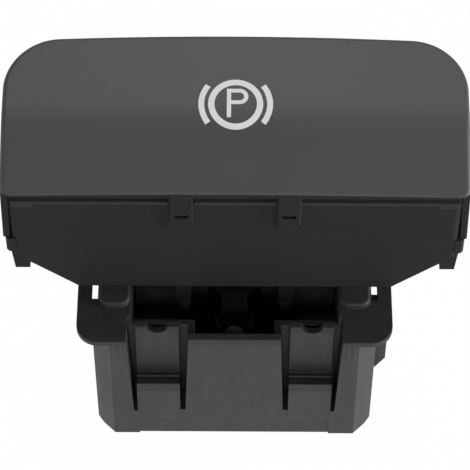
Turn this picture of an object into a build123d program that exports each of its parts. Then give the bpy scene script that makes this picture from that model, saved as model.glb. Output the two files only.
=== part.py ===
from build123d import *
import math
import os

os.makedirs("parts", exist_ok=True)

# Electric parking brake switch: a wide lever under a painted cover, hinged in a housing that snaps into
# a console. The frame is in millimetres, +Z up and the front towards -Y. The housing stands on its flat
# bottom at z = 0, and the origin is under the middle of its flange.

# Clearances
FIT = 0.1                 # between pieces that are put together by hand
PIN_FIT = 0.03            # round the pivot pin and in its bushes, on the radius
RUN = 0.3                 # between a moving piece and one it doesn't touch
SLIDE_FIT = 0.06          # plungers in their bores and the slider in its channel
LIP_ROOM = 0.3            # from the carrier's edge up to the end of the cover's lip
SPARE = 5.0               # how far a cutting or bounding solid runs past what it cuts
PAST = 1.0                # the same, where there is less room
LEAD_IN = 0.3             # small chamfers that help a piece into its place

# Housing
BODY_WIDE = 46.3          # over the corner blocks
BODY_DEEP = 37.6
HOUSING_TALL = 28.3       # bottom to the top of the flange
CORNER_CHAMFER = 2.9
FOOT_CHAMFER = 0.9        # round the bottom of the corner blocks
BLOCK_DEEP = 8.2          # a corner block, front to back
SIDE_STEP = 1.0           # the side walls lie this far inside the corner blocks
BLOCK_PROUD = 0.25        # the corner blocks stand this far in front of the middle of the wall
WALL = 1.5
POCKET = 2.05             # pockets between the cheeks and the side walls
CHEEK = 1.7               # the walls beside the well that carry the pin
DECK = 2.0                # solid thickness over the pockets behind the cheeks
PIN_BOSS = 7.0            # bosses between cheek and side wall, round the pin

# Flange
FLANGE_SIDE = 2.5         # past the corner blocks, at each side
FLANGE_FRONT = 0.3        # past them, front and back
FLANGE_THICK = 1.1
FLANGE_CORNER = 3.6
SLOT_WIDE = 1.0
SLOT_ROOM = 0.3           # middle of a through slot, from the corner blocks' sides
SLOT_FRONT = -10.6
SLOT_LONG = 8.6
PAD_TALL = 1.0            # raised pads over the bearings
PAD_LONG = 24.6
PAD_MARGIN = 0.2          # from the well's edge
PAD_WIDE = 5.0
PAD_ROUND = 0.45
PAD_CORNER = 1.6

# Snap clips, one each side of the middle of the front wall
CLIP_ROOM = 4.28          # middle of a clip, from the side of the well
CLIP_WIDE = 7.15
CLIP_THICK = 1.1
CLIP_BACK = 2.7           # tongue face behind the wall face
HOOK_DROP = 13.6          # hook's shoulder under the flange top
HOOK_LIP = 0.25           # small step on the hook's shoulder
HOOK_LIP_DEEP = 0.75
HOOK_BEVEL = 1.6
HOOK_EASE = 0.35          # how far the bevel leans back
HOOK_PROUD = 0.15
HOOK_LOW = 4.7
RECESS_LOW = 7.0
RECESS_DEEP = 4.8
RECESS_WALL = 1.0
RECESS_TOP = 2.4          # the wall behind a clip ends this far under the flange top
GAP_OUT_TOP = 1.35
GAP_OUT_LOW = 0.65
GAP_IN_TOP = 1.55
GAP_IN_LOW = 0.85
THUMB_ROUND = 1.7         # half-round tool notch in the tongue's end

# Ribs on the housing
KEY_PROUD = 2.3           # keying rib on the right side wall, past the corner block
KEY_THICK = 2.0
KEY_FRONT = -10.75
KEY_LOW = 8.7
KEY_LEAD = 2.7
KEY_LEAD_DEEP = 1.5
GUSSET_ROOM = 4.35        # pairs of small ribs under the flange, from the corner blocks' sides
GUSSET_STEP = 1.1
GUSSET_TALL = 5.0
GUSSET_WIDE = 0.5

# Hinge
HINGE_Y = 1.5
HINGE_DROP = 8.0          # pin axis under the flange top
PIN_ROUND = 3.0
SWING = 7.0               # degrees either way
BUSH_WALL = 1.0

# Lever cover, seen from the side
NEAR_Y = -10.85           # front rim
NEAR_RISE = 28.6          # near edge, where the rim meets the lower flat, over the flange top
LOWER_SLOPE = 31.0        # degrees from level
BEND_Y = -0.65            # crest line between the two flats
UPPER_SLOPE = 10.0
FAR_Y = 14.45             # lip that the fingers pull
BEND_RADIUS = 16.0
COVER_WIDE = 72.8         # at the near edge
COVER_DRAFT = 1.5         # degrees, wider downwards
CROWN_DROP = 0.6          # the top falls this much from the middle to the ends
LIP_BOW = 0.65            # the far lip bows out this much at the middle
BACK_CORNER = 9.0
FRONT_CORNER = 1.8
MIN_CORNER = 0.3
EDGE_ROUND = 0.8
COVER_SKIN = 1.5
COVER_WALL = 0.9
RIM_TALL = 0.6            # thin front lip of the cover
LIP_TALL = 7.2            # back lip, from the far edge down
SIDE_TALL = 12.5          # side walls of the cover, from the near edge down
SIDE_FLAT = 6.5           # length of that bottom edge, before it climbs to the lip
TONGUE_X = 8.4            # snap tongues of the cover over the skirt
TONGUE_WIDE = 3.8
TONGUE_LONG = 7.0         # under the top of the ledge
TONGUE_PROUD = 0.7
TONGUE_TOE = 1.9          # sloped lower zone
TONGUE_EDGE = 0.25
CATCH_WIDE = 1.7          # catch of the skirt in each tongue's window
CATCH_TALL = 0.5
CATCH_ROOM = 0.2
WINDOW_WIDE = 11.0        # translucent window for the sign, on the cover's inner face
WINDOW_LONG = 9.2
WINDOW_DEEP = 0.7
WINDOW_CORNER = 1.5
SIGN_Y = 1.9              # middle of the sign

# Lever carrier
SKIRT_Y = -10.2           # face of the skirt
SKIRT_WALL = 1.5
SKIRT_CLEAR = 3.2         # over the flange top
SKIRT_LOW_WIDE = 50.6     # straight part of the skirt's bottom edge
SKIRT_SLANT = 9.0         # climb of the slanted bottom edge, from the straight part to the side
CARRIER_CORNER = 1.2
CARRIER_BACK = 3.9        # rear face, where the finger space starts
CARRIER_REAR_DROP = 10.7  # from the near edge to the bottom of the side walls at that face
CARRIER_WALL = 1.4
LEDGE_DROP = 2.1          # top of the ledge under the near edge, which leaves a groove under the lip
LEDGE_TALL = 0.7
LEDGE_DEEP = 0.5
LEDGE_PAD = 1.4           # thicker stretches of the ledge
LEDGE_PAD_LONG = 3.3
SIDE_LEDGE = 0.9          # the side walls stand out this much under the cover's side walls
SIDE_LEDGE_RISE = 0.5     # from the skirt's sides up to the bottom of that band
LEG_WIDE = 3.15
LEG_PROUD = 0.3           # past the side walls
LEG_DEEP = 4.0
LEG_EASE = 0.4            # taper of a leg at each side
LEG_RISE = 4.0            # end of a leg, above the skirt's bottom
ARM_IN = 7.2
ARM_THICK = 2.6
ARM_REACH = 8.5           # feet of the arms, in front of and behind the pin
ARM_FOOT = 2.6            # length of a foot's flat
ARM_FOOT_RISE = 2.2       # feet above the pin
ARM_ROUND = 5.0           # round end about the pin
ARM_CHIN = 37.0           # degrees from straight down to where a foot's slope meets the round end
ARM_SHOULDER_RISE = 11.4  # from the pin to where the arms turn towards the skirt
ARM_WAIST_RISE = 17.4     # from the pin to where they are as narrow as the carrier's box
ARM_TURN = 2.0            # height over which their front edge turns back to the skirt
RIB_THICK = 1.2
RIB_X = 21.0

# Drive yoke, plungers, springs and slider
PLUNGER_ROOM = 9.3        # each plunger's axis, from the face inside the front and back walls
PLUNGER_ROUND = 5.0
PLUNGER_DROP = 2.0        # closed ends of the plungers under the pin axis
PLUNGER_TALL = 4.4
PLUNGER_WALL = 0.6
PLUNGER_CROWN = 1.0       # thickness of its closed end
PLUNGER_EDGE = 0.4
NOSE_ROUND = 1.2
NOSE_GAP = 0.1
NOSE_WIDE = 4.4
NOSE_LIFT = 1.7           # the rocker's middle above its noses
HUB_ROUND = 6.4
YOKE_RISE = 7.8           # top of the web above the pin axis
YOKE_WEB = 3.0
DOG_SIZE = 2.2
DOG_LONG = 1.6
DOG_RISE = 5.8
YOKE_SCREW_HEAD = 3.8
YOKE_SCREW_TALL = 1.0
YOKE_SCREW_SHANK = 1.2
YOKE_SCREW_LONG = 3.8
FINGER_TIP_RISE = 1.9     # middle of the finger's tip above the board
FINGER_ROUND = 0.9
FINGER_NECK = 1.2
FINGER_WIDE = 2.4
SPRING_ROUND = 3.7        # over the coil
SPRING_WIRE = 0.42
SPRING_TURNS = 4.5
SLIDER_LONG = 6.0
SLIDER_WIDE = 6.8
SLIDER_TALL = 2.5
WIPER_WIDE = 0.8
WIPER_THICK = 0.15
WIPER_X = 2.4
WIPER_ROOM = 0.6

# Guide frame
BORE_WALL = 0.8
BORE_TALL = 6.0           # heights above the board
BORE_FLOOR = 0.9
GUIDE_PLATE = 1.0
CHANNEL_TALL = 3.4
CHANNEL_WALL = 1.0
BUFFER_ROUND = 2.4
BUFFER_TALL = 2.2
BUFFER_GAP = 0.05         # left under an arm's foot at the end of its travel
COLLAR_WALL = 0.8
COLLAR_TALL = 4.0
DECK_TALL = 2.4           # top of the deck, where the cheeks beside the well start

# Circuit board and what it carries
BOARD_DROP = 9.6          # top of the board under the pin axis
BOARD_THICK = 1.6
BOARD_EDGE = 0.3
PIN_PITCH = 2.54
PIN_SIZE = 0.64
PIN_COLUMNS = 6
PIN_REACH = 0.62          # tips of the pins, as a share of the socket's depth
CHIP_LONG = 5.0
CHIP_WIDE = 4.0
CHIP_TALL = 1.1
CHIP_LEGS = 4             # along each side
CHIP_LEG_REACH = 1.3
CHIP_LEG_THICK = 0.2
CHIP_ROOM = 6.0           # middle of the chip from the side wall's inner face
CHIP_Y = -1.0
LED_SIZE = 2.2
LED_TALL = 0.8
LED_LENS = 1.6
RESISTOR_LONG = 1.6
RESISTOR_WIDE = 0.8
RESISTOR_TALL = 0.5
RESISTOR_STEP = 2.0
RESISTOR_COUNT = 4
GUIDE_LIGHT_ROUND = 3.8
LIGHT_ROOM = 5.0          # axis of the light guide from the front wall's inner face
LIGHT_TALL = 10.0         # end of the light guide above the board

# Upper light guide
UPPER_PROUD = 1.6         # below the skirt's bottom edge
UPPER_LOW_Y = -6.8
UPPER_ROUND = 3.6
UPPER_TURN = 2.0          # from the guide's lower end to its first bend
UPPER_COLUMN_Y = -4.6
UPPER_LEAN = 6.8          # from its lower end to its second bend
UPPER_BEND = 3.6
UPPER_FLARE = 10.2        # start of the flare under the near edge
UPPER_MARGIN = 0.5        # its head inside the sign's window
LIGHT_RIB_DROP = 12.6     # rib of the carrier that steadies the guide, under the near edge
DIFFUSER_THICK = 1.0

# Bottom cover
COVER_PLATE = 1.5
PLATE_CORNER = 1.0
SOCKET_WIDE = 20.0
SOCKET_DEEP = 8.6
SOCKET_WALL = 1.2
SOCKET_CORNER = 0.6
SOCKET_ROOM = 8.3         # middle of the socket from the back wall's inner face
SOCKET_CAP = 1.4          # between the socket's roof and the board
SUPPORT_ROUND = 3.0
SUPPORT_SIDE = 6.2        # posts, from the walls' inner faces
SUPPORT_FRONT = 8.3
SUPPORT_BACK = 2.8
SCREW_HEAD = 3.6
SCREW_SHANK = 1.8
SCREW_LONG = 5.6
SCREW_HEAD_TALL = 1.0
SCREW_CROSS = 2.2
SCREW_CROSS_WIDE = 0.5
SCREW_SIDE = 2.6          # screws, from the walls' inner faces
SCREW_END = 5.3
SCREW_POST = 4.6

# Worked out from the sizes above
FRONT = -BODY_DEEP / 2
SIDE = BODY_WIDE / 2 - SIDE_STEP
INNER_SIDE = SIDE - WALL
INNER_FRONT = BODY_DEEP / 2 - WALL
WELL = INNER_SIDE - POCKET - CHEEK
CLIP_X = WELL - CLIP_ROOM
SLOT_X = BODY_WIDE / 2 - SLOT_ROOM
GUSSET_X = BODY_WIDE / 2 - GUSSET_ROOM
HINGE_Z = HOUSING_TALL - HINGE_DROP
HOOK_TOP = HOUSING_TALL - HOOK_DROP
TONGUE_FACE = FRONT + CLIP_BACK
RECESS_BACK = FRONT + RECESS_DEEP
HINGE = (HINGE_Y, HINGE_Z)
BOARD_TOP = HINGE_Z - BOARD_DROP
BOARD_Z = BOARD_TOP - BOARD_THICK
CHEEK_LOW = BOARD_TOP + DECK_TALL
CHANNEL_TOP = BOARD_TOP + CHANNEL_TALL
BORE_TOP = BOARD_TOP + BORE_TALL
COLLAR_TOP = BOARD_TOP + COLLAR_TALL
LIGHT_TOP = BOARD_TOP + LIGHT_TALL
FINGER_TIP_Z = BOARD_TOP + FINGER_TIP_RISE
PLUNGER_TOP = HINGE_Z - PLUNGER_DROP
PLUNGER_ARM = INNER_FRONT - PLUNGER_ROOM
YOKE_TOP = HINGE_Z + YOKE_RISE
DOG_Z = HINGE_Z + DOG_RISE
CHIP_X = CHIP_ROOM - INNER_SIDE
LIGHT_Y = LIGHT_ROOM - INNER_FRONT
SOCKET_Y = INNER_FRONT - SOCKET_ROOM
SOCKET_ROOF = BOARD_Z - SOCKET_CAP
PIN_TIP = SOCKET_ROOF * PIN_REACH
SKIRT_LOW = HOUSING_TALL + SKIRT_CLEAR
SKIRT_SIDE_Z = SKIRT_LOW + SKIRT_SLANT
LEG_LOW = SKIRT_LOW + LEG_RISE
NEAR_Z = HOUSING_TALL + NEAR_RISE
MIDDLE_FRONT = FRONT + BLOCK_PROUD
BEND_Z = NEAR_Z + (BEND_Y - NEAR_Y) * math.tan(math.radians(LOWER_SLOPE))
FAR_Z = BEND_Z + (FAR_Y - BEND_Y) * math.tan(math.radians(UPPER_SLOPE))
RIM_LOW = NEAR_Z - RIM_TALL
SIDE_LOW = NEAR_Z - SIDE_TALL
LEDGE_TOP = NEAR_Z - LEDGE_DROP
CARRIER_REAR_LOW = NEAR_Z - CARRIER_REAR_DROP
LIGHT_RIB_Z = NEAR_Z - LIGHT_RIB_DROP
UPPER_LOW = SKIRT_LOW - UPPER_PROUD
LIP_LOW = FAR_Z - LIP_TALL
CARRIER_HALF = COVER_WIDE / 2 - COVER_WALL - FIT
ARM_OUT = ARM_IN + ARM_THICK
ARM_FOOT_Z = HINGE_Z + ARM_FOOT_RISE
ARM_SHOULDER = HINGE_Z + ARM_SHOULDER_RISE
ARM_WAIST = HINGE_Z + ARM_WAIST_RISE
BUSH_ROUND = PIN_ROUND + 2 * PIN_FIT + 2 * BUSH_WALL
BORE_ROUND = PLUNGER_ROUND + 2 * SLIDE_FIT
TOWER_ROUND = BORE_ROUND + 2 * BORE_WALL
SLIDER_ARM = HINGE_Z - FINGER_TIP_Z
SLIDER_TRAVEL = SLIDER_ARM * math.radians(SWING)


def block(x0, x1, y0, y1, z0, z1):
    """A block between two corners."""
    return Pos((x0 + x1) / 2, (y0 + y1) / 2, (z0 + z1) / 2) * Box(x1 - x0, y1 - y0, z1 - z0)


def side_prism(face, x0, x1):
    """A face drawn in Y and Z, carried along X."""
    return extrude(Plane.YZ.offset(x0) * face, amount=x1 - x0, dir=(1, 0, 0))


def front_prism(face, y0, y1):
    """A face drawn in X and Z, carried along Y."""
    return extrude(Plane.XZ.offset(-y0) * face, amount=y1 - y0, dir=(0, 1, 0))


def plan_prism(face, z0, z1):
    """A face drawn in X and Y, carried upwards."""
    return extrude(Pos(0, 0, z0) * face, amount=z1 - z0, dir=(0, 0, 1))


def bar(x0, x1, diameter, centre=HINGE):
    """A round bar along X, at a Y and Z."""
    return side_prism(Pos(*centre) * Circle(diameter / 2), x0, x1)


def post(x, y, z0, z1, diameter):
    """A round post."""
    return plan_prism(Pos(x, y) * Circle(diameter / 2), z0, z1)


def pair(shape):
    """A shape with its mirror image at the other side."""
    return shape + mirror(shape, about=Plane.YZ)


def outline(*points):
    """A flat face with straight edges through its corners."""
    return Polygon(*points, align=None)


# Housing

def body_outline():
    """The housing from above: chamfered corner blocks, the side walls set in between them."""
    face = chamfer(Rectangle(BODY_WIDE, BODY_DEEP).vertices(), CORNER_CHAMFER)
    between = BODY_DEEP - 2 * BLOCK_DEEP
    step = Pos(SIDE + SPARE / 2, 0) * Rectangle(SPARE, between)
    return face - step - mirror(step, about=Plane.YZ)


def housing_body():
    """The housing's outer form, with its flange and the shallow step between the corner blocks."""
    body = plan_prism(body_outline(), 0, HOUSING_TALL)
    low_edges = body.edges().filter_by(Axis.Y).group_by(Axis.Z)[0]
    feet = [edge for edge in low_edges if abs(edge.center().X) > SIDE + SIDE_STEP / 2]
    body = chamfer(feet, FOOT_CHAMFER)
    flange = RectangleRounded(BODY_WIDE + 2 * FLANGE_SIDE, BODY_DEEP + 2 * FLANGE_FRONT, FLANGE_CORNER)
    body += plan_prism(flange, HOUSING_TALL - FLANGE_THICK, HOUSING_TALL)
    edge = CLIP_X + CLIP_WIDE / 2 - HOOK_PROUD
    return body - block(-edge, edge, FRONT - SPARE, MIDDLE_FRONT, -SPARE, HOUSING_TALL + SPARE)


def housing_hollows():
    """The room for the board below, the well above it, and the pockets behind the cheeks."""
    room = block(-INNER_SIDE, INNER_SIDE, -INNER_FRONT, INNER_FRONT, -SPARE, CHEEK_LOW)
    well = block(-WELL, WELL, -INNER_FRONT, INNER_FRONT, 0, HOUSING_TALL + SPARE)
    pocket = block(WELL + CHEEK, INNER_SIDE, -INNER_FRONT, INNER_FRONT, 0, HOUSING_TALL - DECK)
    return room + well + pair(pocket)


def clip_recess():
    """The recess round one clip, open to the front and the top, its sides drawn together downwards."""
    out, inside = CLIP_X + CLIP_WIDE / 2, CLIP_X - CLIP_WIDE / 2
    face = outline(
        (inside - GAP_IN_LOW, RECESS_LOW),
        (out + GAP_OUT_LOW, RECESS_LOW),
        (out + GAP_OUT_TOP, HOUSING_TALL),
        (out + GAP_OUT_TOP, HOUSING_TALL + SPARE),
        (inside - GAP_IN_TOP, HOUSING_TALL + SPARE),
        (inside - GAP_IN_TOP, HOUSING_TALL),
    )
    return front_prism(face, FRONT - SPARE, RECESS_BACK)


def clip():
    """One snap clip: a tongue that stands on its root, with the stepped hook in front of it."""
    hook_face = MIDDLE_FRONT - HOOK_PROUD
    step_y = TONGUE_FACE - HOOK_LIP_DEEP
    face = outline(
        (MIDDLE_FRONT, HOOK_LOW),
        (hook_face, HOOK_LOW + 3 * HOOK_PROUD),
        (hook_face, HOOK_TOP - HOOK_BEVEL),
        (hook_face + HOOK_EASE, HOOK_TOP),
        (step_y, HOOK_TOP),
        (step_y, HOOK_TOP + HOOK_LIP),
        (TONGUE_FACE, HOOK_TOP + HOOK_LIP),
        (TONGUE_FACE, HOUSING_TALL),
        (TONGUE_FACE + CLIP_THICK, HOUSING_TALL),
        (TONGUE_FACE + CLIP_THICK, HOOK_LOW),
    )
    tongue = side_prism(face, CLIP_X - CLIP_WIDE / 2, CLIP_X + CLIP_WIDE / 2)
    notch = Pos(CLIP_X, HOUSING_TALL) * Circle(THUMB_ROUND)
    return tongue - front_prism(notch, TONGUE_FACE - CLIP_THICK, TONGUE_FACE + 2 * CLIP_THICK)


def bearing_pads():
    """The raised pads over the bearings, rounded at their edges."""
    x0 = WELL + PAD_MARGIN
    face = Pos(x0 + PAD_WIDE / 2, 0) * RectangleRounded(PAD_WIDE, PAD_LONG, PAD_CORNER)
    pad = plan_prism(face, HOUSING_TALL - PAD_TALL, HOUSING_TALL + PAD_TALL)
    return pair(fillet(pad.faces().sort_by(Axis.Z)[-1].edges(), PAD_ROUND))


def key_rib():
    """The keying rib on the right side wall, with its lead-in."""
    under = HOUSING_TALL - FLANGE_THICK
    x1 = BODY_WIDE / 2 + KEY_PROUD
    face = outline(
        (SIDE - WALL / 2, under),
        (x1, under),
        (x1, KEY_LOW + KEY_LEAD),
        (x1 - KEY_LEAD_DEEP, KEY_LOW),
        (SIDE - WALL / 2, KEY_LOW - KEY_LEAD),
    )
    return front_prism(face, KEY_FRONT, KEY_FRONT + KEY_THICK)


def gussets():
    """The small tapered ribs under the flange on the corner blocks."""
    under = HOUSING_TALL - FLANGE_THICK
    face = outline((FRONT, under - GUSSET_TALL), (FRONT - FLANGE_FRONT, under), (FRONT, under))
    first = side_prism(face, GUSSET_X - GUSSET_STEP / 2, GUSSET_X - GUSSET_STEP / 2 + GUSSET_WIDE)
    return pair(first + Pos(GUSSET_STEP, 0, 0) * first)


def housing():
    body = housing_body() - housing_hollows()
    in_edge = CLIP_X - CLIP_WIDE / 2 - GAP_IN_TOP - RECESS_WALL
    out_edge = CLIP_X + CLIP_WIDE / 2 + GAP_OUT_TOP
    front, back = FRONT + WALL / 2, RECESS_BACK + RECESS_WALL
    backing = block(in_edge, out_edge, front, back, HOOK_LOW, HOUSING_TALL - RECESS_TOP)
    backing += block(out_edge - WALL, out_edge + RECESS_WALL, front, back, HOOK_LOW, CHEEK_LOW)
    body += pair(backing)
    body -= pair(clip_recess())
    body += pair(clip())
    bosses = bar(WELL + CHEEK / 2, INNER_SIDE + WALL / 2, PIN_BOSS)
    body += pair(bosses)
    body += bearing_pads() + gussets() + key_rib()
    body -= bar(-INNER_SIDE, SIDE + SPARE, PIN_ROUND + 2 * PIN_FIT)
    for x, y in screw_places():
        body += post(x, y, COVER_PLATE, CHEEK_LOW + WALL / 2, SCREW_POST)
        body -= post(x, y, 0, SCREW_LONG + FIT, SCREW_SHANK)
    x0, x1 = SLOT_X - SLOT_WIDE / 2, SLOT_X + SLOT_WIDE / 2
    y0, y1 = SLOT_FRONT, SLOT_FRONT + SLOT_LONG
    return body - pair(block(x0, x1, y0, y1, HOUSING_TALL - FLANGE_THICK, HOUSING_TALL + SPARE))


# Board, connector and bottom cover

def board_outline():
    """The outline shared by the board and the deck over it, notched round the clips and the screw posts."""
    back = INNER_FRONT - BOARD_EDGE
    notch = RECESS_BACK + RECESS_WALL + RUN
    half = INNER_SIDE - BOARD_EDGE
    nose = CLIP_X - CLIP_WIDE / 2 - GAP_IN_TOP - RECESS_WALL - RUN
    face = Pos(0, (back + notch) / 2) * Rectangle(2 * half, back - notch)
    face += Pos(0, (notch - back) / 2) * Rectangle(2 * nose, back + notch)
    for x, y in screw_places():
        face -= Pos(x, y) * Circle(SCREW_POST / 2 + RUN)
    return face


def screw_places():
    """The X and Y of each screw of the bottom cover."""
    x, y = INNER_SIDE - SCREW_SIDE, INNER_FRONT - SCREW_END
    return [(side * x, way * y) for side in (-1, 1) for way in (-1, 1)]


def support_places():
    """The X and Y of each post that carries the board, with a foot of the deck over it."""
    x = INNER_SIDE - SUPPORT_SIDE
    front, back = SUPPORT_FRONT - INNER_FRONT, INNER_FRONT - SUPPORT_BACK
    return [(side * x, y) for side in (-1, 1) for y in (front, back)]


def circuit_board():
    """The board, with holes for the connector pins."""
    face = board_outline()
    for x, y in pin_places():
        face -= Pos(x, y) * Rectangle(PIN_SIZE, PIN_SIZE)
    return plan_prism(face, BOARD_Z, BOARD_TOP)


def pin_places():
    """The X and Y of each connector pin, in two rows."""
    start = -(PIN_COLUMNS - 1) / 2
    return [
        ((start + column) * PIN_PITCH, SOCKET_Y + row * PIN_PITCH / 2)
        for row in (-1, 1)
        for column in range(PIN_COLUMNS)
    ]


def connector_pins():
    """The square pins, chamfered at their tips."""
    group = []
    for x, y in pin_places():
        pin = plan_prism(Pos(x, y) * Rectangle(PIN_SIZE, PIN_SIZE), PIN_TIP, BOARD_TOP)
        group.append(chamfer(pin.faces().sort_by(Axis.Z)[0].edges(), PIN_SIZE / 4))
    return Compound(children=group)


def control_chip():
    """The control chip, with a row of gull-wing legs along each side."""
    low = BOARD_TOP + FIT
    body = plan_prism(Pos(CHIP_X, CHIP_Y) * Rectangle(CHIP_WIDE, CHIP_LONG), low, low + CHIP_TALL)
    t, shoulder = CHIP_LEG_THICK, FIT + CHIP_TALL / 2
    bend = CHIP_LEG_REACH / 3
    leg = outline(
        (0, shoulder),
        (0, shoulder + t),
        (bend + t / 2, shoulder + t),
        (2 * bend, t),
        (CHIP_LEG_REACH, t),
        (CHIP_LEG_REACH, 0),
        (2 * bend - t, 0),
        (bend, shoulder),
    )
    legs = []
    for index in range(CHIP_LEGS):
        y = CHIP_Y + (index - (CHIP_LEGS - 1) / 2) * PIN_PITCH / 2
        wing = Pos(CHIP_X + CHIP_WIDE / 2, 0, BOARD_TOP) * front_prism(leg, y - t, y + t)
        legs.append(wing)
        legs.append(mirror(wing, about=Plane.YZ.offset(CHIP_X)))
    return body + legs


def backlight_led():
    """The light source under the lower light guide: a base with its lens."""
    joint = BOARD_TOP + LED_TALL / 2
    face = RectangleRounded(LED_SIZE, LED_SIZE, LED_SIZE / 10)
    base = plan_prism(Pos(0, LIGHT_Y) * face, BOARD_TOP, joint)
    return base + post(0, LIGHT_Y, joint, BOARD_TOP + LED_TALL, LED_LENS)


def chip_resistors():
    """A row of chip resistors beside the control chip."""
    group = []
    for index in range(RESISTOR_COUNT):
        y = CHIP_Y + (index - (RESISTOR_COUNT - 1) / 2) * RESISTOR_STEP
        face = Pos(-CHIP_X, y) * Rectangle(RESISTOR_LONG, RESISTOR_WIDE)
        group.append(plan_prism(face, BOARD_TOP, BOARD_TOP + RESISTOR_TALL))
    return Compound(children=group)


def bottom_cover():
    """The bottom cover: a plate, the socket's shroud and the posts that carry the board."""
    x, y = INNER_SIDE - FIT, INNER_FRONT - FIT
    plate = plan_prism(RectangleRounded(2 * x, 2 * y, PLATE_CORNER), 0, COVER_PLATE)
    socket = RectangleRounded(SOCKET_WIDE, SOCKET_DEEP, SOCKET_CORNER)
    wall = 2 * SOCKET_WALL
    shroud = RectangleRounded(SOCKET_WIDE + wall, SOCKET_DEEP + wall, SOCKET_CORNER + SOCKET_WALL / 2)
    cover = plate + plan_prism(Pos(0, SOCKET_Y) * shroud, 0, BOARD_Z)
    cover -= plan_prism(Pos(0, SOCKET_Y) * socket, -SPARE, SOCKET_ROOF)
    half, keyway = PIN_PITCH / 2, SOCKET_Y - SOCKET_DEEP / 2 - SOCKET_WALL / 2
    cover -= block(-half, half, keyway, SOCKET_Y, -SPARE, SOCKET_ROOF)
    for px, py in pin_places():
        cover -= plan_prism(Pos(px, py) * Rectangle(PIN_SIZE, PIN_SIZE), 0, BOARD_Z)
    for sx, sy in support_places():
        cover += post(sx, sy, 0, BOARD_Z, SUPPORT_ROUND)
    for sx, sy in screw_places():
        cover -= post(sx, sy, -SPARE, SCREW_HEAD_TALL, SCREW_HEAD + 2 * FIT)
        cover -= post(sx, sy, 0, COVER_PLATE + FIT, SCREW_SHANK + 2 * FIT)
    return cover


def cover_screws():
    """The four screws of the bottom cover, with cross recesses."""
    group = []
    reach, half = SCREW_CROSS / 2, SCREW_CROSS_WIDE / 2
    for x, y in screw_places():
        screw = post(x, y, 0, SCREW_HEAD_TALL, SCREW_HEAD) + post(x, y, 0, SCREW_LONG, SCREW_SHANK)
        cross = block(x - reach, x + reach, y - half, y + half, -PAST, SCREW_HEAD_TALL / 2)
        cross += block(x - half, x + half, y - reach, y + reach, -PAST, SCREW_HEAD_TALL / 2)
        group.append(screw - cross)
    return Compound(children=group)


# Guide frame, with what slides in it

def guide_frame():
    """The frame over the board: a deck on feet, with the bores, the slider's channel and the light collar."""
    frame = plan_prism(board_outline(), CHEEK_LOW - GUIDE_PLATE, CHEEK_LOW)
    for x, y in support_places():
        frame += post(x, y, BOARD_TOP, CHEEK_LOW, SUPPORT_ROUND)
    channel = SLIDER_WIDE / 2 + SLIDE_FIT
    long = SLIDER_LONG / 2 + SLIDER_TRAVEL + RUN
    wide = channel + CHANNEL_WALL
    frame += block(-wide, wide, HINGE_Y - PLUNGER_ARM, HINGE_Y + PLUNGER_ARM, BOARD_TOP, CHANNEL_TOP)
    bores = [(0, HINGE_Y - PLUNGER_ARM), (0, HINGE_Y + PLUNGER_ARM)]
    for x, y in bores:
        frame += post(x, y, BOARD_TOP, BORE_TOP, TOWER_ROUND)
    light_bore = GUIDE_LIGHT_ROUND + 2 * FIT
    frame += post(0, LIGHT_Y, BOARD_TOP, COLLAR_TOP, light_bore + 2 * COLLAR_WALL)
    for x, y in bores:
        frame -= post(x, y, BOARD_TOP + BORE_FLOOR, BORE_TOP + SPARE, BORE_ROUND)
    frame -= post(0, LIGHT_Y, BOARD_TOP - FIT, COLLAR_TOP + SPARE, light_bore)
    frame -= block(-channel, channel, HINGE_Y - long, HINGE_Y + long, BOARD_TOP - PAST, CHANNEL_TOP + PAST)
    for x, y in buffer_places():
        frame += post(x, y, CHEEK_LOW - GUIDE_PLATE, buffer_low(), BUFFER_ROUND)
    return frame


def buffer_places():
    """The X and Y of each stop buffer, under the feet of the arms."""
    x = ARM_IN + ARM_THICK / 2
    reach = ARM_REACH - ARM_FOOT / 2
    return [(side * x, HINGE_Y + way * reach) for side in (-1, 1) for way in (-1, 1)]


def buffer_low():
    """Height where the buffers start: their tops wait for the feet at the end of the travel."""
    foot = ARM_FOOT_Z - ARM_REACH * math.sin(math.radians(SWING))
    return foot - BUFFER_GAP - ARM_FOOT_RISE * (1 - math.cos(math.radians(SWING))) - BUFFER_TALL


def stop_buffers():
    """The rubber stop buffers, slightly domed."""
    group = []
    for x, y in buffer_places():
        pad = post(x, y, buffer_low(), buffer_low() + BUFFER_TALL, BUFFER_ROUND)
        group.append(fillet(pad.faces().sort_by(Axis.Z)[-1].edges(), BUFFER_ROUND / 6))
    return Compound(children=group)


def plunger(y):
    """A cup-shaped plunger, its spring inside."""
    low = PLUNGER_TOP - PLUNGER_TALL
    cup = post(0, y, low, PLUNGER_TOP, PLUNGER_ROUND)
    cup = fillet(cup.faces().sort_by(Axis.Z)[-1].edges(), PLUNGER_EDGE)
    return cup - post(0, y, low - PAST, PLUNGER_TOP - PLUNGER_CROWN, PLUNGER_ROUND - 2 * PLUNGER_WALL)


def spring(y):
    """A return spring, between the bore's floor and the plunger's closed end."""
    low = BOARD_TOP + BORE_FLOOR + SPRING_WIRE / 2
    tall = PLUNGER_TOP - PLUNGER_CROWN - SPRING_WIRE / 2 - low
    radius = (SPRING_ROUND - SPRING_WIRE) / 2
    path = Pos(0, y, low) * Helix(tall / SPRING_TURNS, tall, radius)
    section = Plane(origin=path @ 0, z_dir=path % 0) * Circle(SPRING_WIRE / 2)
    return sweep(section, path=path, is_frenet=True)


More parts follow.
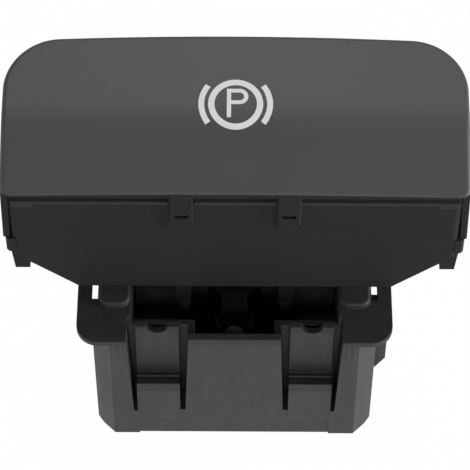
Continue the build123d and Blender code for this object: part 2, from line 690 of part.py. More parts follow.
def contact_slider():
    """The slider that carries the wipers, with the slot that the yoke's finger drives."""
    low = BOARD_TOP + SLIDE_FIT
    slider = block(-SLIDER_WIDE / 2, SLIDER_WIDE / 2, HINGE_Y - SLIDER_LONG / 2, HINGE_Y + SLIDER_LONG / 2,
                   low, low + SLIDER_TALL)
    slider = chamfer(slider.faces().sort_by(Axis.Z)[-1].edges(), LEAD_IN)
    room = FINGER_ROUND + SLIDE_FIT
    slider -= block(-FINGER_WIDE / 2 - FIT, FINGER_WIDE / 2 + FIT, HINGE_Y - room, HINGE_Y + room,
                    FINGER_TIP_Z - FINGER_ROUND - FIT, low + SLIDER_TALL + PAST)
    half = WIPER_WIDE / 2 + FIT
    front, back = HINGE_Y - SLIDER_LONG / 2 - PAST, HINGE_Y + SLIDER_LONG / 2 + PAST
    groove = block(WIPER_X - half, WIPER_X + half, front, back, low - PAST, low + WIPER_ROOM)
    return slider - pair(groove)


def contact_wipers():
    """The two bowed wiper springs in the slider's underside."""
    low, high = BOARD_TOP + SLIDE_FIT / 2, BOARD_TOP + SLIDE_FIT + WIPER_ROOM
    end, bow = SLIDER_LONG / 2, SLIDER_LONG / 6
    t = WIPER_THICK
    half = [(2 * bow - t, high), (end, high), (end, high - t), (2 * bow, high - t), (bow, low)]
    other = [(-y, z) for y, z in reversed(half)]
    face = Pos(HINGE_Y, 0) * outline(*half, *other, (t - bow, low + t), (bow - t, low + t))
    strip = side_prism(face, WIPER_X - WIPER_WIDE / 2, WIPER_X + WIPER_WIDE / 2)
    return pair(strip)


def lower_light_guide():
    """The clear rod that carries the light up out of the board."""
    rod = post(0, LIGHT_Y, BOARD_TOP + LED_TALL + FIT, LIGHT_TOP, GUIDE_LIGHT_ROUND)
    return chamfer(rod.faces().sort_by(Axis.Z)[-1].edges(), LEAD_IN)


# Hinge and yoke

def pivot_pin():
    """The steel pin across the well, chamfered at both ends."""
    pin = bar(-INNER_SIDE, SIDE - FIT, PIN_ROUND)
    return chamfer(pin.edges().filter_by(GeomType.CIRCLE), LEAD_IN)


def pivot_bushes():
    """The bushes in the lever's arms."""
    bush = bar(ARM_IN, ARM_OUT, BUSH_ROUND) - bar(ARM_IN - PAST, ARM_OUT + PAST, PIN_ROUND + 2 * PIN_FIT)
    return pair(bush)


def drive_yoke():
    """The yoke between the arms: hub, noses over the plungers, the slider's finger, the web with its dogs."""
    width = ARM_IN - RUN
    hub = Pos(*HINGE) * Circle(HUB_ROUND / 2)
    nose_z = PLUNGER_TOP + NOSE_GAP + NOSE_ROUND
    root = Pos(HINGE_Y, nose_z + NOSE_LIFT) * Circle(NOSE_ROUND)
    rocker = Part()
    for way in (-1, 1):
        nose = Pos(HINGE_Y + way * PLUNGER_ARM, nose_z) * Circle(NOSE_ROUND)
        rocker += side_prism(make_hull((root + nose).edges()), -NOSE_WIDE / 2, NOSE_WIDE / 2)
    hub_bar = side_prism(hub, -width, width)
    web = block(-width, width, HINGE_Y - YOKE_WEB / 2, HINGE_Y + YOKE_WEB / 2, HINGE_Z, YOKE_TOP)
    face = outline(
        (HINGE_Y - FINGER_NECK / 2, FINGER_TIP_Z),
        (HINGE_Y + FINGER_NECK / 2, FINGER_TIP_Z),
        (HINGE_Y + FINGER_NECK, HINGE_Z),
        (HINGE_Y - FINGER_NECK, HINGE_Z),
    )
    neck = side_prism(face, -FINGER_WIDE / 2, FINGER_WIDE / 2)
    tip = bar(-FINGER_WIDE / 2, FINGER_WIDE / 2, 2 * FINGER_ROUND, (HINGE_Y, FINGER_TIP_Z))
    dog = block(width - PAST, ARM_IN + DOG_LONG - RUN, HINGE_Y - DOG_SIZE / 2, HINGE_Y + DOG_SIZE / 2,
                DOG_Z - DOG_SIZE / 2, DOG_Z + DOG_SIZE / 2)
    yoke = rocker + hub_bar + web + neck + tip + pair(dog)
    yoke -= bar(-width - PAST, width + PAST, PIN_ROUND + 2 * PIN_FIT)
    return yoke - pair(bar(ARM_OUT - YOKE_SCREW_LONG, ARM_OUT, YOKE_SCREW_SHANK, (HINGE_Y, DOG_Z)))


def yoke_screws():
    """The two screws through the arms' windows into the yoke's dogs, slotted."""
    centre = (HINGE_Y, DOG_Z)
    screw = bar(ARM_OUT - YOKE_SCREW_LONG, ARM_OUT, YOKE_SCREW_SHANK, centre)
    head_end = ARM_OUT + YOKE_SCREW_TALL
    screw += bar(ARM_OUT, head_end, YOKE_SCREW_HEAD, centre)
    half = SCREW_CROSS_WIDE / 2
    low, high = DOG_Z - half, DOG_Z + half
    slot = block(head_end - YOKE_SCREW_TALL / 2, head_end + PAST, HINGE_Y - SPARE, HINGE_Y + SPARE, low, high)
    return pair(screw - slot)


# Lever

def lever_side(drop):
    """The region under the paddle's top, from the side, with the top lowered by drop along its normals."""
    low, high = math.radians(LOWER_SLOPE), math.radians(UPPER_SLOPE)
    lower_drop, upper_drop = drop / math.cos(low), drop / math.cos(high)
    bend_y = BEND_Y - (upper_drop - lower_drop) / (math.tan(high) - math.tan(low))
    bend_z = BEND_Z - lower_drop + (bend_y - BEND_Y) * math.tan(low)
    front, back = NEAR_Y - SPARE, FAR_Y + SPARE
    face = outline(
        (front, 0),
        (front, bend_z - (bend_y - front) * math.tan(low)),
        (bend_y, bend_z),
        (back, bend_z + (back - bend_y) * math.tan(high)),
        (back, 0),
    )
    bend = [corner for corner in face.vertices() if abs(corner.X - bend_y) < 0.001]
    return fillet(bend, BEND_RADIUS - drop)


def lever_plan(inset, level):
    """The paddle's outline from above, at a height, drawn in by inset."""
    grow = (NEAR_Z - level) * math.tan(math.radians(COVER_DRAFT)) - inset
    half = COVER_WIDE / 2 + grow
    front, back = NEAR_Y - grow, FAR_Y + grow
    bowed = back - LIP_BOW
    face = make_face([
        Line((-half, bowed), (-half, front)),
        Line((-half, front), (half, front)),
        Line((half, front), (half, bowed)),
        ThreePointArc((half, bowed), (0, back), (-half, bowed)),
    ])
    face = fillet(face.vertices().sort_by(Axis.Y)[-2:], BACK_CORNER + grow)
    return fillet(face.vertices().sort_by(Axis.Y)[:2], max(FRONT_CORNER + grow, MIN_CORNER))


def lever_form(drop, inset):
    """The paddle as one crowned lump: its top lowered by drop, its sides drawn in by inset."""
    crown = (COVER_WIDE / 2) ** 2 / (2 * CROWN_DROP)
    axis = Axis((0, 0, BEND_Z - crown), (0, 1, 0))
    swing = 2 * math.degrees(COVER_WIDE / crown)
    top = revolve(Plane.YZ * lever_side(drop), axis, swing).rotate(axis, -swing / 2)
    low = SIDE_LOW - SPARE
    walls = extrude(Pos(0, 0, low) * lever_plan(inset, low), amount=FAR_Z - low + SPARE, taper=COVER_DRAFT)
    return walls & top


def top_rim(form):
    """The edges all round the paddle's top."""
    tops = [face for face in form.faces() if face.normal_at().Z > 0.5]
    edges = [edge for face in tops for edge in face.edges()]
    return ShapeList(edge for edge in edges if sum(edge.is_same(other) for other in edges) == 1)


def cover_region():
    """What of the paddle is cover, from the side: the front rim, the side walls, the climb to the lip."""
    behind = NEAR_Y + COVER_WALL + FIT
    high = FAR_Z + SPARE
    face = outline(
        (NEAR_Y - SPARE, RIM_LOW),
        (behind, RIM_LOW),
        (behind, SIDE_LOW),
        (behind + SIDE_FLAT, SIDE_LOW),
        (FAR_Y - COVER_SKIN * 2, LIP_LOW),
        (FAR_Y + SPARE, LIP_LOW),
        (FAR_Y + SPARE, high),
        (NEAR_Y - SPARE, high),
    )
    return side_prism(face, -COVER_WIDE, COVER_WIDE)


def sign_window(margin):
    """The upright prism of the sign's window."""
    wide, long = WINDOW_WIDE - 2 * margin, WINDOW_LONG - 2 * margin
    return plan_prism(Pos(0, SIGN_Y) * RectangleRounded(wide, long, WINDOW_CORNER), LEDGE_TOP, FAR_Z + SPARE)


def tongue_block(margin):
    """One tongue of the cover, or the room round it."""
    y1 = SKIRT_Y - FIT / 2 + margin
    y0 = SKIRT_Y - TONGUE_PROUD - margin
    low, high = LEDGE_TOP - TONGUE_LONG, RIM_LOW + COVER_WALL / 2
    toe = y0 + TONGUE_PROUD * 0.7
    face = outline((y0, high), (y0, low + TONGUE_TOE), (toe, low - margin), (y1, low - margin), (y1, high))
    half = TONGUE_WIDE / 2 + margin
    tongue = side_prism(face, TONGUE_X - half, TONGUE_X + half)
    if margin:
        return tongue
    return chamfer(tongue.faces().sort_by(Axis.Y)[0].edges().filter_by(Axis.Z), TONGUE_EDGE)


def catch(margin):
    """The wedge that a tongue snaps over, or the window round it."""
    wide, tall = CATCH_WIDE / 2 + margin, CATCH_TALL / 2 + margin
    y0, y1 = SKIRT_Y - TONGUE_PROUD * 0.7 - margin * SPARE, SKIRT_Y + SKIRT_WALL / 2
    z = LEDGE_TOP - TONGUE_LONG / 2
    face = outline((y1, z - tall), (y0, z - tall if margin else z), (y0, z + tall), (y1, z + tall))
    return side_prism(face, TONGUE_X - wide, TONGUE_X + wide)


def lever_cover():
    """The painted cover: a thin crowned shell with a rounded edge, and two snap tongues."""
    outer = lever_form(0, 0)
    outer = fillet(top_rim(outer), EDGE_ROUND)
    shell = outer - lever_form(COVER_SKIN, COVER_WALL)
    shell &= cover_region()
    shell -= sign_window(0) & lever_form(COVER_SKIN - WINDOW_DEEP, COVER_WALL)
    return shell + pair(tongue_block(0) - catch(CATCH_ROOM))


def symbol_diffuser():
    """The diffuser in the window's pocket, with the cover's curve on its top."""
    top = lever_form(COVER_SKIN - WINDOW_DEEP, COVER_WALL)
    under = lever_form(COVER_SKIN - WINDOW_DEEP + DIFFUSER_THICK, COVER_WALL)
    return sign_window(FIT) & (top - under)


def carrier_plan(inset):
    """The carrier's box from above."""
    wide, deep = 2 * (CARRIER_HALF - inset), CARRIER_BACK - SKIRT_Y - 2 * inset
    corner = max(CARRIER_CORNER - inset, MIN_CORNER)
    return Pos(0, (CARRIER_BACK + SKIRT_Y) / 2) * RectangleRounded(wide, deep, corner)


def skirt():
    """The skirt: a wide front wall with a straight middle and slanted ends."""
    half, low = CARRIER_HALF, SKIRT_LOW_WIDE / 2
    top = LEDGE_TOP - LEDGE_TALL
    face = outline(
        (-half, top),
        (-half, SKIRT_SIDE_Z),
        (-low, SKIRT_LOW),
        (low, SKIRT_LOW),
        (half, SKIRT_SIDE_Z),
        (half, top),
    )
    return front_prism(face, SKIRT_Y, SKIRT_Y + SKIRT_WALL) & plan_prism(carrier_plan(0), 0, LEDGE_TOP)


def carrier_box():
    """The box under the cover: skirt, side walls that climb to the rear, and a rear wall for the fingers."""
    joint = LEDGE_TOP - LEDGE_TALL
    walls = plan_prism(carrier_plan(0) - carrier_plan(CARRIER_WALL), SKIRT_SIDE_Z, joint)
    start = SKIRT_Y + SKIRT_WALL + LEG_DEEP
    climb = outline(
        (start, SKIRT_SIDE_Z - PAST),
        (start, SKIRT_SIDE_Z),
        (CARRIER_BACK, CARRIER_REAR_LOW),
        (CARRIER_BACK + SPARE, CARRIER_REAR_LOW),
        (CARRIER_BACK + SPARE, SKIRT_SIDE_Z - PAST),
    )
    walls -= side_prism(climb, -COVER_WIDE, COVER_WIDE)
    drop, inset = COVER_SKIN + FIT, COVER_WALL + FIT
    outer = lever_form(drop, inset)
    inner = lever_form(drop + CARRIER_WALL, inset + CARRIER_WALL)
    region = outline(
        (NEAR_Y - SPARE, joint),
        (CARRIER_BACK, joint),
        (CARRIER_BACK, LIP_LOW + LIP_ROOM),
        (FAR_Y + SPARE, LIP_LOW + LIP_ROOM),
        (FAR_Y + SPARE, FAR_Z + SPARE),
        (NEAR_Y - SPARE, FAR_Z + SPARE),
    )
    upper = (outer - inner) & side_prism(region, -COVER_WIDE, COVER_WIDE)
    half = CARRIER_HALF - CARRIER_WALL / 2
    rear = block(-half, half, CARRIER_BACK - CARRIER_WALL, CARRIER_BACK, CARRIER_REAR_LOW, FAR_Z) & outer
    return walls + upper + rear + skirt()


def ledge():
    """The thin ledge under the cover's lip, with its thicker ends, open at the tongues."""
    front, back = SKIRT_Y - LEDGE_DEEP, SKIRT_Y + SKIRT_WALL / 2
    half = CARRIER_HALF - CARRIER_CORNER / 2
    shelf = block(-half, half, front, back, LEDGE_TOP - LEDGE_TALL, LEDGE_TOP)
    end = block(half - LEDGE_PAD_LONG, half, front, back, LEDGE_TOP - LEDGE_PAD, LEDGE_TOP)
    return shelf + pair(end) - pair(tongue_block(FIT))


def side_ledge():
    """The band along the foot of a side wall, under the edge of the cover's side wall."""
    x0, x1 = CARRIER_HALF - CARRIER_WALL / 2, CARRIER_HALF + SIDE_LEDGE
    low = SKIRT_SIDE_Z + SIDE_LEDGE_RISE
    band = block(x0, x1, SKIRT_Y, SKIRT_Y + SKIRT_WALL + LEG_DEEP, low, SIDE_LOW - FIT)
    corner = band.edges().filter_by(Axis.Z).sort_by(lambda edge: edge.center().X - edge.center().Y)[-1]
    return chamfer(corner, SIDE_LEDGE / 2)


def leg():
    """One tapered side leg under the carrier's side wall."""
    x1 = CARRIER_HALF + LEG_PROUD
    x0 = x1 - LEG_WIDE
    top = SKIRT_SIDE_Z + CARRIER_WALL
    face = outline(
        (x0, top),
        (x0, SKIRT_SIDE_Z),
        (x0 + LEG_EASE, LEG_LOW),
        (x1 - LEG_EASE, LEG_LOW),
        (x1, SKIRT_SIDE_Z),
        (x1, top),
    )
    y0 = SKIRT_Y + SKIRT_WALL / 2
    return front_prism(face, y0, y0 + LEG_DEEP)


def arm():
    """One arm from the box down to the pin, with the feet that meet the buffers."""
    front, back = HINGE_Y - ARM_REACH, HINGE_Y + ARM_REACH
    inner_front, inner_back = SKIRT_Y + SKIRT_WALL / 2, CARRIER_BACK - CARRIER_WALL / 2
    slope = math.radians(ARM_CHIN)
    chin_y, chin_z = ARM_ROUND * math.sin(slope), HINGE_Z - ARM_ROUND * math.cos(slope)
    face = outline(
        (front, ARM_FOOT_Z),
        (front, ARM_SHOULDER - ARM_TURN / 2),
        (inner_front, ARM_SHOULDER + ARM_TURN / 2),
        (inner_front, FAR_Z),
        (inner_back, FAR_Z),
        (inner_back, ARM_WAIST),
        (back, ARM_SHOULDER - ARM_ROUND),
        (back, ARM_FOOT_Z),
        (back - ARM_FOOT, ARM_FOOT_Z),
        (HINGE_Y + chin_y, chin_z),
        (HINGE_Y - chin_y, chin_z),
        (front + ARM_FOOT, ARM_FOOT_Z),
    )
    face += Pos(*HINGE) * Circle(ARM_ROUND)
    return side_prism(face, ARM_IN, ARM_OUT)


def lever_carrier():
    """The carrier under the cover, with its skirt, ribs, legs and arms."""
    carrier = carrier_box() + ledge() + pair(side_ledge() + leg())
    roof = COVER_SKIN + FIT + CARRIER_WALL / 2
    inside = lever_form(roof, COVER_WALL + FIT)
    inside += block(-COVER_WIDE, COVER_WIDE, SKIRT_Y, FAR_Y, 0, SIDE_LOW - SPARE)
    front, back = SKIRT_Y + SKIRT_WALL / 2, CARRIER_BACK - CARRIER_WALL / 2
    foot, low = SKIRT_Y + SKIRT_WALL + RIB_THICK, ARM_SHOULDER + ARM_TURN / 2
    face = outline(
        (front, low),
        (front, FAR_Z),
        (back, FAR_Z),
        (back, CARRIER_REAR_LOW),
        (foot, CARRIER_REAR_LOW - SPARE),
        (foot, low),
    )
    ribs = pair(arm() + side_prism(face, RIB_X - RIB_THICK / 2, RIB_X + RIB_THICK / 2))
    half, rib_top = ARM_IN + ARM_THICK / 2, LIGHT_RIB_Z + RIB_THICK
    ribs += block(-half, half, front, back, LIGHT_RIB_Z, rib_top)
    carrier += ribs & inside
    carrier += pair(catch(0))
    carrier -= sign_window(0) - lever_form(COVER_SKIN - WINDOW_DEEP + DIFFUSER_THICK + FIT, COVER_WALL)
    light_room = block(-WINDOW_WIDE, WINDOW_WIDE, NEAR_Y, CARRIER_BACK - CARRIER_WALL, LEDGE_TOP, FAR_Z)
    carrier -= sign_window(UPPER_MARGIN - FIT) & light_room
    carrier -= post(0, UPPER_COLUMN_Y, LIGHT_RIB_Z - PAST, rib_top + PAST, UPPER_ROUND + 2 * FIT)
    inside, outside = ARM_IN - PAST, ARM_OUT + PAST
    carrier -= pair(bar(inside, outside, BUSH_ROUND))
    hole = DOG_SIZE / 2 + FIT
    window = block(inside, outside, HINGE_Y - hole, HINGE_Y + hole, DOG_Z - hole, DOG_Z + hole)
    return carrier - pair(window)


def upper_light_guide():
    """The clear guide in the lever: a bent round column that flares out under the diffuser."""
    flare_z = NEAR_Z - UPPER_FLARE
    path = FilletPolyline(
        (0, UPPER_LOW_Y, UPPER_LOW),
        (0, UPPER_LOW_Y, UPPER_LOW + UPPER_TURN),
        (0, UPPER_COLUMN_Y, UPPER_LOW + UPPER_LEAN),
        (0, UPPER_COLUMN_Y, flare_z),
        radius=UPPER_BEND,
    )
    column = sweep(Plane(origin=path @ 0, z_dir=path % 0) * Circle(UPPER_ROUND / 2), path=path)
    front, back = SIGN_Y - WINDOW_LONG / 2 + UPPER_MARGIN, CARRIER_BACK - CARRIER_WALL - UPPER_MARGIN
    face = RectangleRounded(WINDOW_WIDE - 2 * UPPER_MARGIN, back - front, WINDOW_CORNER)
    head = Pos(0, (front + back) / 2) * face
    low = LEDGE_TOP + CARRIER_WALL
    flare = loft([Pos(0, UPPER_COLUMN_Y, flare_z) * Circle(UPPER_ROUND / 2), Pos(0, 0, low) * head])
    under = lever_form(COVER_SKIN - WINDOW_DEEP + DIFFUSER_THICK + FIT, COVER_WALL)
    crown = plan_prism(head, low, FAR_Z) & under
    return column + flare + crown


PARTS = {
    "housing": housing,
    "bottom_cover": bottom_cover,
    "cover_screws": cover_screws,
    "circuit_board": circuit_board,
    "connector_pins": connector_pins,
    "control_chip": control_chip,
    "chip_resistors": chip_resistors,
    "backlight_led": backlight_led,
    "lower_light_guide": lower_light_guide,
    "guide_frame": guide_frame,
    "stop_buffers": stop_buffers,
    "pivot_pin": pivot_pin,
    "pivot_bushes": pivot_bushes,
    "drive_yoke": drive_yoke,
    "yoke_screws": yoke_screws,
    "lever_cover": lever_cover,
    "lever_carrier": lever_carrier,
    "upper_light_guide": upper_light_guide,
    "symbol_diffuser": symbol_diffuser,
    "front_plunger": lambda: plunger(HINGE_Y - PLUNGER_ARM),
    "rear_plunger": lambda: plunger(HINGE_Y + PLUNGER_ARM),
    "front_spring": lambda: spring(HINGE_Y - PLUNGER_ARM),
    "rear_spring": lambda: spring(HINGE_Y + PLUNGER_ARM),
    "contact_slider": contact_slider,
    "contact_wipers": contact_wipers,
}

for name, make in PARTS.items():
    export_step(make(), f"parts/{name}.step")
    print("wrote", name)
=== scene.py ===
"""The looks of an electric parking brake switch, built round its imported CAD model.

Every CAD node gets the finish of the real moulding, and the sign on the paddle is made as printed pieces.
Lengths are in metres, in the frame of the CAD model: +Z up and the front towards -Y.
"""

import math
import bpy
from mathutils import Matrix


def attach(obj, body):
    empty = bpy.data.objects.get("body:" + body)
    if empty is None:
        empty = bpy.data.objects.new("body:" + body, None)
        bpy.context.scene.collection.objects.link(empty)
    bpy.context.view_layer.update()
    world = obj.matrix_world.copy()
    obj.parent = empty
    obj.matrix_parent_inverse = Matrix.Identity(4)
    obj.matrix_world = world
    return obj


bl_info = {
    "name": "Parking Brake Switch",
    "version": (1, 0, 0),
    "blender": (4, 5, 0),
    "location": "View3D > Sidebar > Brake Switch",
    "description": "Finishes, printed sign and studio of an electric parking brake switch",
    "category": "Object",
}

import bmesh
import bpy
from bpy.props import FloatProperty, FloatVectorProperty, IntProperty, PointerProperty
from mathutils import Matrix, Vector
from mathutils.bvhtree import BVHTree

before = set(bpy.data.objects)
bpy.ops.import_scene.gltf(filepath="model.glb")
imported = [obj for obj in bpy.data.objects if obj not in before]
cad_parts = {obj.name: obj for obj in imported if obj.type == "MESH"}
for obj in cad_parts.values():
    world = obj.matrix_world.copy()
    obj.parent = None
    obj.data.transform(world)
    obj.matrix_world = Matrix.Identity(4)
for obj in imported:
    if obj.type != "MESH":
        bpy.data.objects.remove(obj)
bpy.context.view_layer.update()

MM = 0.001
PHOTO_SIDE = 470

PATTERN_RANGE = {"From Min": 0.3, "From Max": 0.7}  # nearly all of a noise's values lie between these
SMALL_EDGE = 0.05 * MM  # edge radius of the board and its chips
METAL_EDGE = 0.08 * MM  # edge radius of pins, screws and springs
CORNER_BLOCKS = 16.9 * MM  # the housing's corner blocks lie farther out than this, along X
WELL_ABOVE = 0.2  # a height over the whole switch, from which the print is dropped onto the paddle
SAME_PLACE = 0.001 * MM  # points nearer to each other than this are one point

FLOOR_SIZE = 2.0
FLOOR_DROP = 0.05 * MM  # the table lies this far under the housing, so that their faces don't fight
FLOOR_WHITE = 1.02  # so that the floor is white in spite of the trace of shadow that it keeps
FLOOR_SHOWN = 0.97  # share of plain white in the floor that the camera sees
FLOOR_MIRRORED = 0.87  # and in the floor that the pieces mirror
ROOM_MIRRORED = 0.3  # share of white in the room that the pieces mirror

# Each softbox: its place from the point that the camera looks at, its side, and the setting of its power.
SOFTBOXES = {
    "Key softbox": ((0.0, 0.30, 0.675), 0.30, "key_power"),
    "Left softbox": ((-0.74, -0.12, 0.07), 0.35, "left_power"),
    "Right softbox": ((0.74, -0.12, 0.07), 0.35, "right_power"),
    "Front softbox": ((0.0, -0.73, 0.17), 0.40, "front_power"),
    "Fill softbox": ((0.0, -0.57, 0.48), 0.30, "fill_power"),
}


def srgb(value):
    """The linear colour, with alpha, of an sRGB hex value such as "#4B4B4D"."""
    parts = [int(value.lstrip("#")[i:i + 2], 16) / 255 for i in (0, 2, 4)]
    return tuple(c / 12.92 if c <= 0.04045 else ((c + 0.055) / 1.055) ** 2.4 for c in parts) + (1.0,)


def colour_property(name, description, value):
    """A colour setting, written as an sRGB hex value and held as a linear colour."""
    return FloatVectorProperty(
        name=name, description=description, default=srgb(value), size=4, subtype="COLOR", min=0.0, max=1.0)


class BrakeSwitchSign(bpy.types.PropertyGroup):
    """Sizes of the parking brake sign, along the paddle's surface"""

    ring_radius: FloatProperty(
        name="Ring Radius", description="Outer radius of the ring", default=4.26 * MM, unit="LENGTH")
    ring_line: FloatProperty(
        name="Ring Line", description="Width of the ring's line", default=0.98 * MM, unit="LENGTH")
    arc_radius: FloatProperty(
        name="Arc Radius", description="Outer radius of the two side arcs", default=5.78 * MM, unit="LENGTH")
    arc_line: FloatProperty(
        name="Arc Line", description="Width of the arcs' line", default=0.91 * MM, unit="LENGTH")
    arc_reach: FloatProperty(
        name="Arc Reach", description="Angle of each arc above and below the level through the ring's middle",
        default=math.radians(36.8), subtype="ANGLE")
    letter_tall: FloatProperty(
        name="Letter Height", description="Height of the letter", default=4.91 * MM, unit="LENGTH")
    letter_wide: FloatProperty(
        name="Letter Width", description="Width of the letter", default=3.33 * MM, unit="LENGTH")
    letter_line: FloatProperty(
        name="Letter Line", description="Width of the letter's strokes", default=0.66 * MM, unit="LENGTH")
    letter_bowl: FloatProperty(
        name="Letter Bowl", description="Height of the letter's bowl", default=2.70 * MM, unit="LENGTH")
    letter_left: FloatProperty(
        name="Letter Left", description="Left side of the letter, from the ring's middle", default=-1.37 * MM,
        unit="LENGTH")
    letter_top: FloatProperty(
        name="Letter Top", description="Top of the letter, from the ring's middle", default=2.64 * MM,
        unit="LENGTH")
    middle_up: FloatProperty(
        name="Middle Up", description="The ring's middle above the paddle's crest line, along the surface",
        default=2.56 * MM, unit="LENGTH")
    print_lift: FloatProperty(
        name="Print Lift", description="Height of the print over the paint", default=0.012 * MM,
        unit="LENGTH")
    print_thick: FloatProperty(
        name="Print Thickness", description="Thickness of the print", default=0.02 * MM, unit="LENGTH")
    ring_steps: IntProperty(
        name="Ring Steps", description="Steps round the ring", default=120, min=24, max=400)


class BrakeSwitchPaddle(bpy.types.PropertyGroup):
    """The paddle's section, as far as the sign follows it"""

    crest_y: FloatProperty(
        name="Crest", description="Where the two flats of the paddle would meet, along Y", default=-0.65 * MM,
        unit="LENGTH")
    lower_slope: FloatProperty(
        name="Lower Slope", description="Slope of the lower flat", default=math.radians(31), subtype="ANGLE")
    upper_slope: FloatProperty(
        name="Upper Slope", description="Slope of the upper flat", default=math.radians(10), subtype="ANGLE")
    bend_radius: FloatProperty(
        name="Bend Radius", description="Radius of the soft bend between the flats", default=16 * MM,
        unit="LENGTH")


class BrakeSwitchFinish(bpy.types.PropertyGroup):
    """Colours of the finishes, and where they change on a piece"""

    cover: colour_property("Cover", "Soft-touch paint of the paddle", "#444445")
    carrier: colour_property("Carrier", "Black plastic of the carrier", "#2E2E2F")
    housing: colour_property("Housing", "Glass-filled plastic of the housing", "#2A2A2C")
    # painted shade: drawn darker than black plastic, so the pieces deep in the well look shaded
    inner: colour_property("Inner Pieces", "Acetal of the pieces that slide", "#0C0C0D")
    sign: colour_property("Sign", "White ink of the sign", "#F3F4F7")
    grain: FloatProperty(
        name="Grain", default=0.16 * MM, unit="LENGTH",
        description="Size of the eroded grain of the moulds, drawn coarser than the real one, to show")
    edge: FloatProperty(
        name="Moulded Edge", description="Radius that a mould leaves on a plain edge", default=0.22 * MM,
        unit="LENGTH")
    mask_height: FloatProperty(
        name="Mask Height", description="The paint ends at this height on the paddle's front",
        default=56.2 * MM, unit="LENGTH")
    mask_depth: FloatProperty(
        name="Mask Depth", description="The bare front of the paddle ends here, along Y", default=-9.6 * MM,
        unit="LENGTH")
    # painted shade: ahead of this depth the lip's front face is drawn as dark bare ABS
    lip_shade_depth: FloatProperty(
        name="Lip Depth", description="The paint ends here on the paddle's front lip, along Y",
        default=-10.74 * MM, unit="LENGTH")
    rim_depth: FloatProperty(
        name="Rim Depth", description="Where the carrier's rim begins, along Y", default=-10.45 * MM,
        unit="LENGTH")
    rim_height: FloatProperty(
        name="Rim Height", description="Just under the top of the carrier's rim", default=54.7 * MM,
        unit="LENGTH")
    etched_height: FloatProperty(
        name="Etched Height", default=26.8 * MM, unit="LENGTH",
        description="From here up the housing is etched matt, so the flange doesn't shine")
    # painted highlight: how much lighter the face and ledge of the carrier's rim are drawn
    painted_highlight_gain: FloatProperty(
        name="Painted Highlight Gain", description="How much paler the mist of paint makes the rim", default=1.9, min=1.0)


class BrakeSwitchStudio(bpy.types.PropertyGroup):
    """Camera and lamps"""

    elevation: FloatProperty(
        name="Elevation", description="How far above level the camera stands", default=math.radians(54),
        subtype="ANGLE")
    distance: FloatProperty(
        name="Distance", description="From the camera to the point it looks at", default=0.395, unit="LENGTH")
    aim_height: FloatProperty(
        name="Aim Height", description="Height of the point it looks at", default=31.6 * MM, unit="LENGTH")
    roll: FloatProperty(
        name="Roll", description="Turn of the camera about its view", default=math.radians(0.3),
        subtype="ANGLE")
    focal_pixels: FloatProperty(
        name="Focal Pixels", description="Focal length, in pixels of the photograph", default=2397.0)
    key_power: FloatProperty(
        name="Key Power", description="Power of the softbox over the switch, in watts", default=2.15)
    left_power: FloatProperty(
        name="Left Power", description="Power of the low softbox at the left, in watts", default=1.2)
    right_power: FloatProperty(
        name="Right Power", description="Power of the low softbox at the right, in watts", default=7.5)
    front_power: FloatProperty(
        name="Front Power", description="Power of the low softbox in front, in watts", default=1.15)
    fill_power: FloatProperty(
        name="Fill Power", description="Power of the softbox over the camera's side, in watts", default=0.85)
    room_light: FloatProperty(
        name="Room Light", description="Strength of the light from all round", default=0.0)
    floor: colour_property("Table", "Table under the switch, as it lights the pieces from below", "#8C8C8E")


def settings(name):
    """One of the switch's groups of settings."""
    return getattr(bpy.context.scene, name)


# Nodes of the materials

def add_node(owner, kind, sockets=None, **values):
    """Adds a node to a material or world, with its settings. sockets holds its numbers, colours and links."""
    node = owner.node_tree.nodes.new(kind)
    for name, value in values.items():
        setattr(node, name, value)
    for name, value in (sockets or {}).items():
        if isinstance(value, bpy.types.NodeSocket):
            owner.node_tree.links.new(value, node.inputs[name])
        else:
            node.inputs[name].default_value = value
    return node


def new_material(name):
    """An empty node material."""
    material = bpy.data.materials.new(name)
    material.use_nodes = True
    material.node_tree.nodes.clear()
    return material


def object_place(material, stretch=(1, 1, 1)):
    """The place on the piece, in metres, stretched."""
    place = add_node(material, "ShaderNodeTexCoord")
    mapped = add_node(material, "ShaderNodeMapping", sockets={
        "Vector": place.outputs["Object"], "Scale": stretch})
    return mapped.outputs["Vector"]


def shade(material, colour, pattern, low, high):
    """A colour made lighter and darker by a pattern."""
    factor = add_node(material, "ShaderNodeMapRange", sockets={
        **PATTERN_RANGE, "Value": pattern, "To Min": low, "To Max": high})
    scaled = add_node(material, "ShaderNodeVectorMath", operation="SCALE", sockets={
        0: colour[:3], "Scale": factor.outputs["Result"]})
    return scaled.outputs["Vector"]


def moulded_normal(material, radius, pattern, depth, strength):
    """The surface's direction, turned near each edge as a mould's radius turns it, with a pattern's bumps."""
    edges = add_node(material, "ShaderNodeBevel", samples=8, sockets={"Radius": radius})
    bumps = add_node(material, "ShaderNodeBump", sockets={
        "Height": pattern, "Distance": depth, "Strength": strength, "Normal": edges.outputs["Normal"]})
    return bumps.outputs["Normal"]


# Finishes

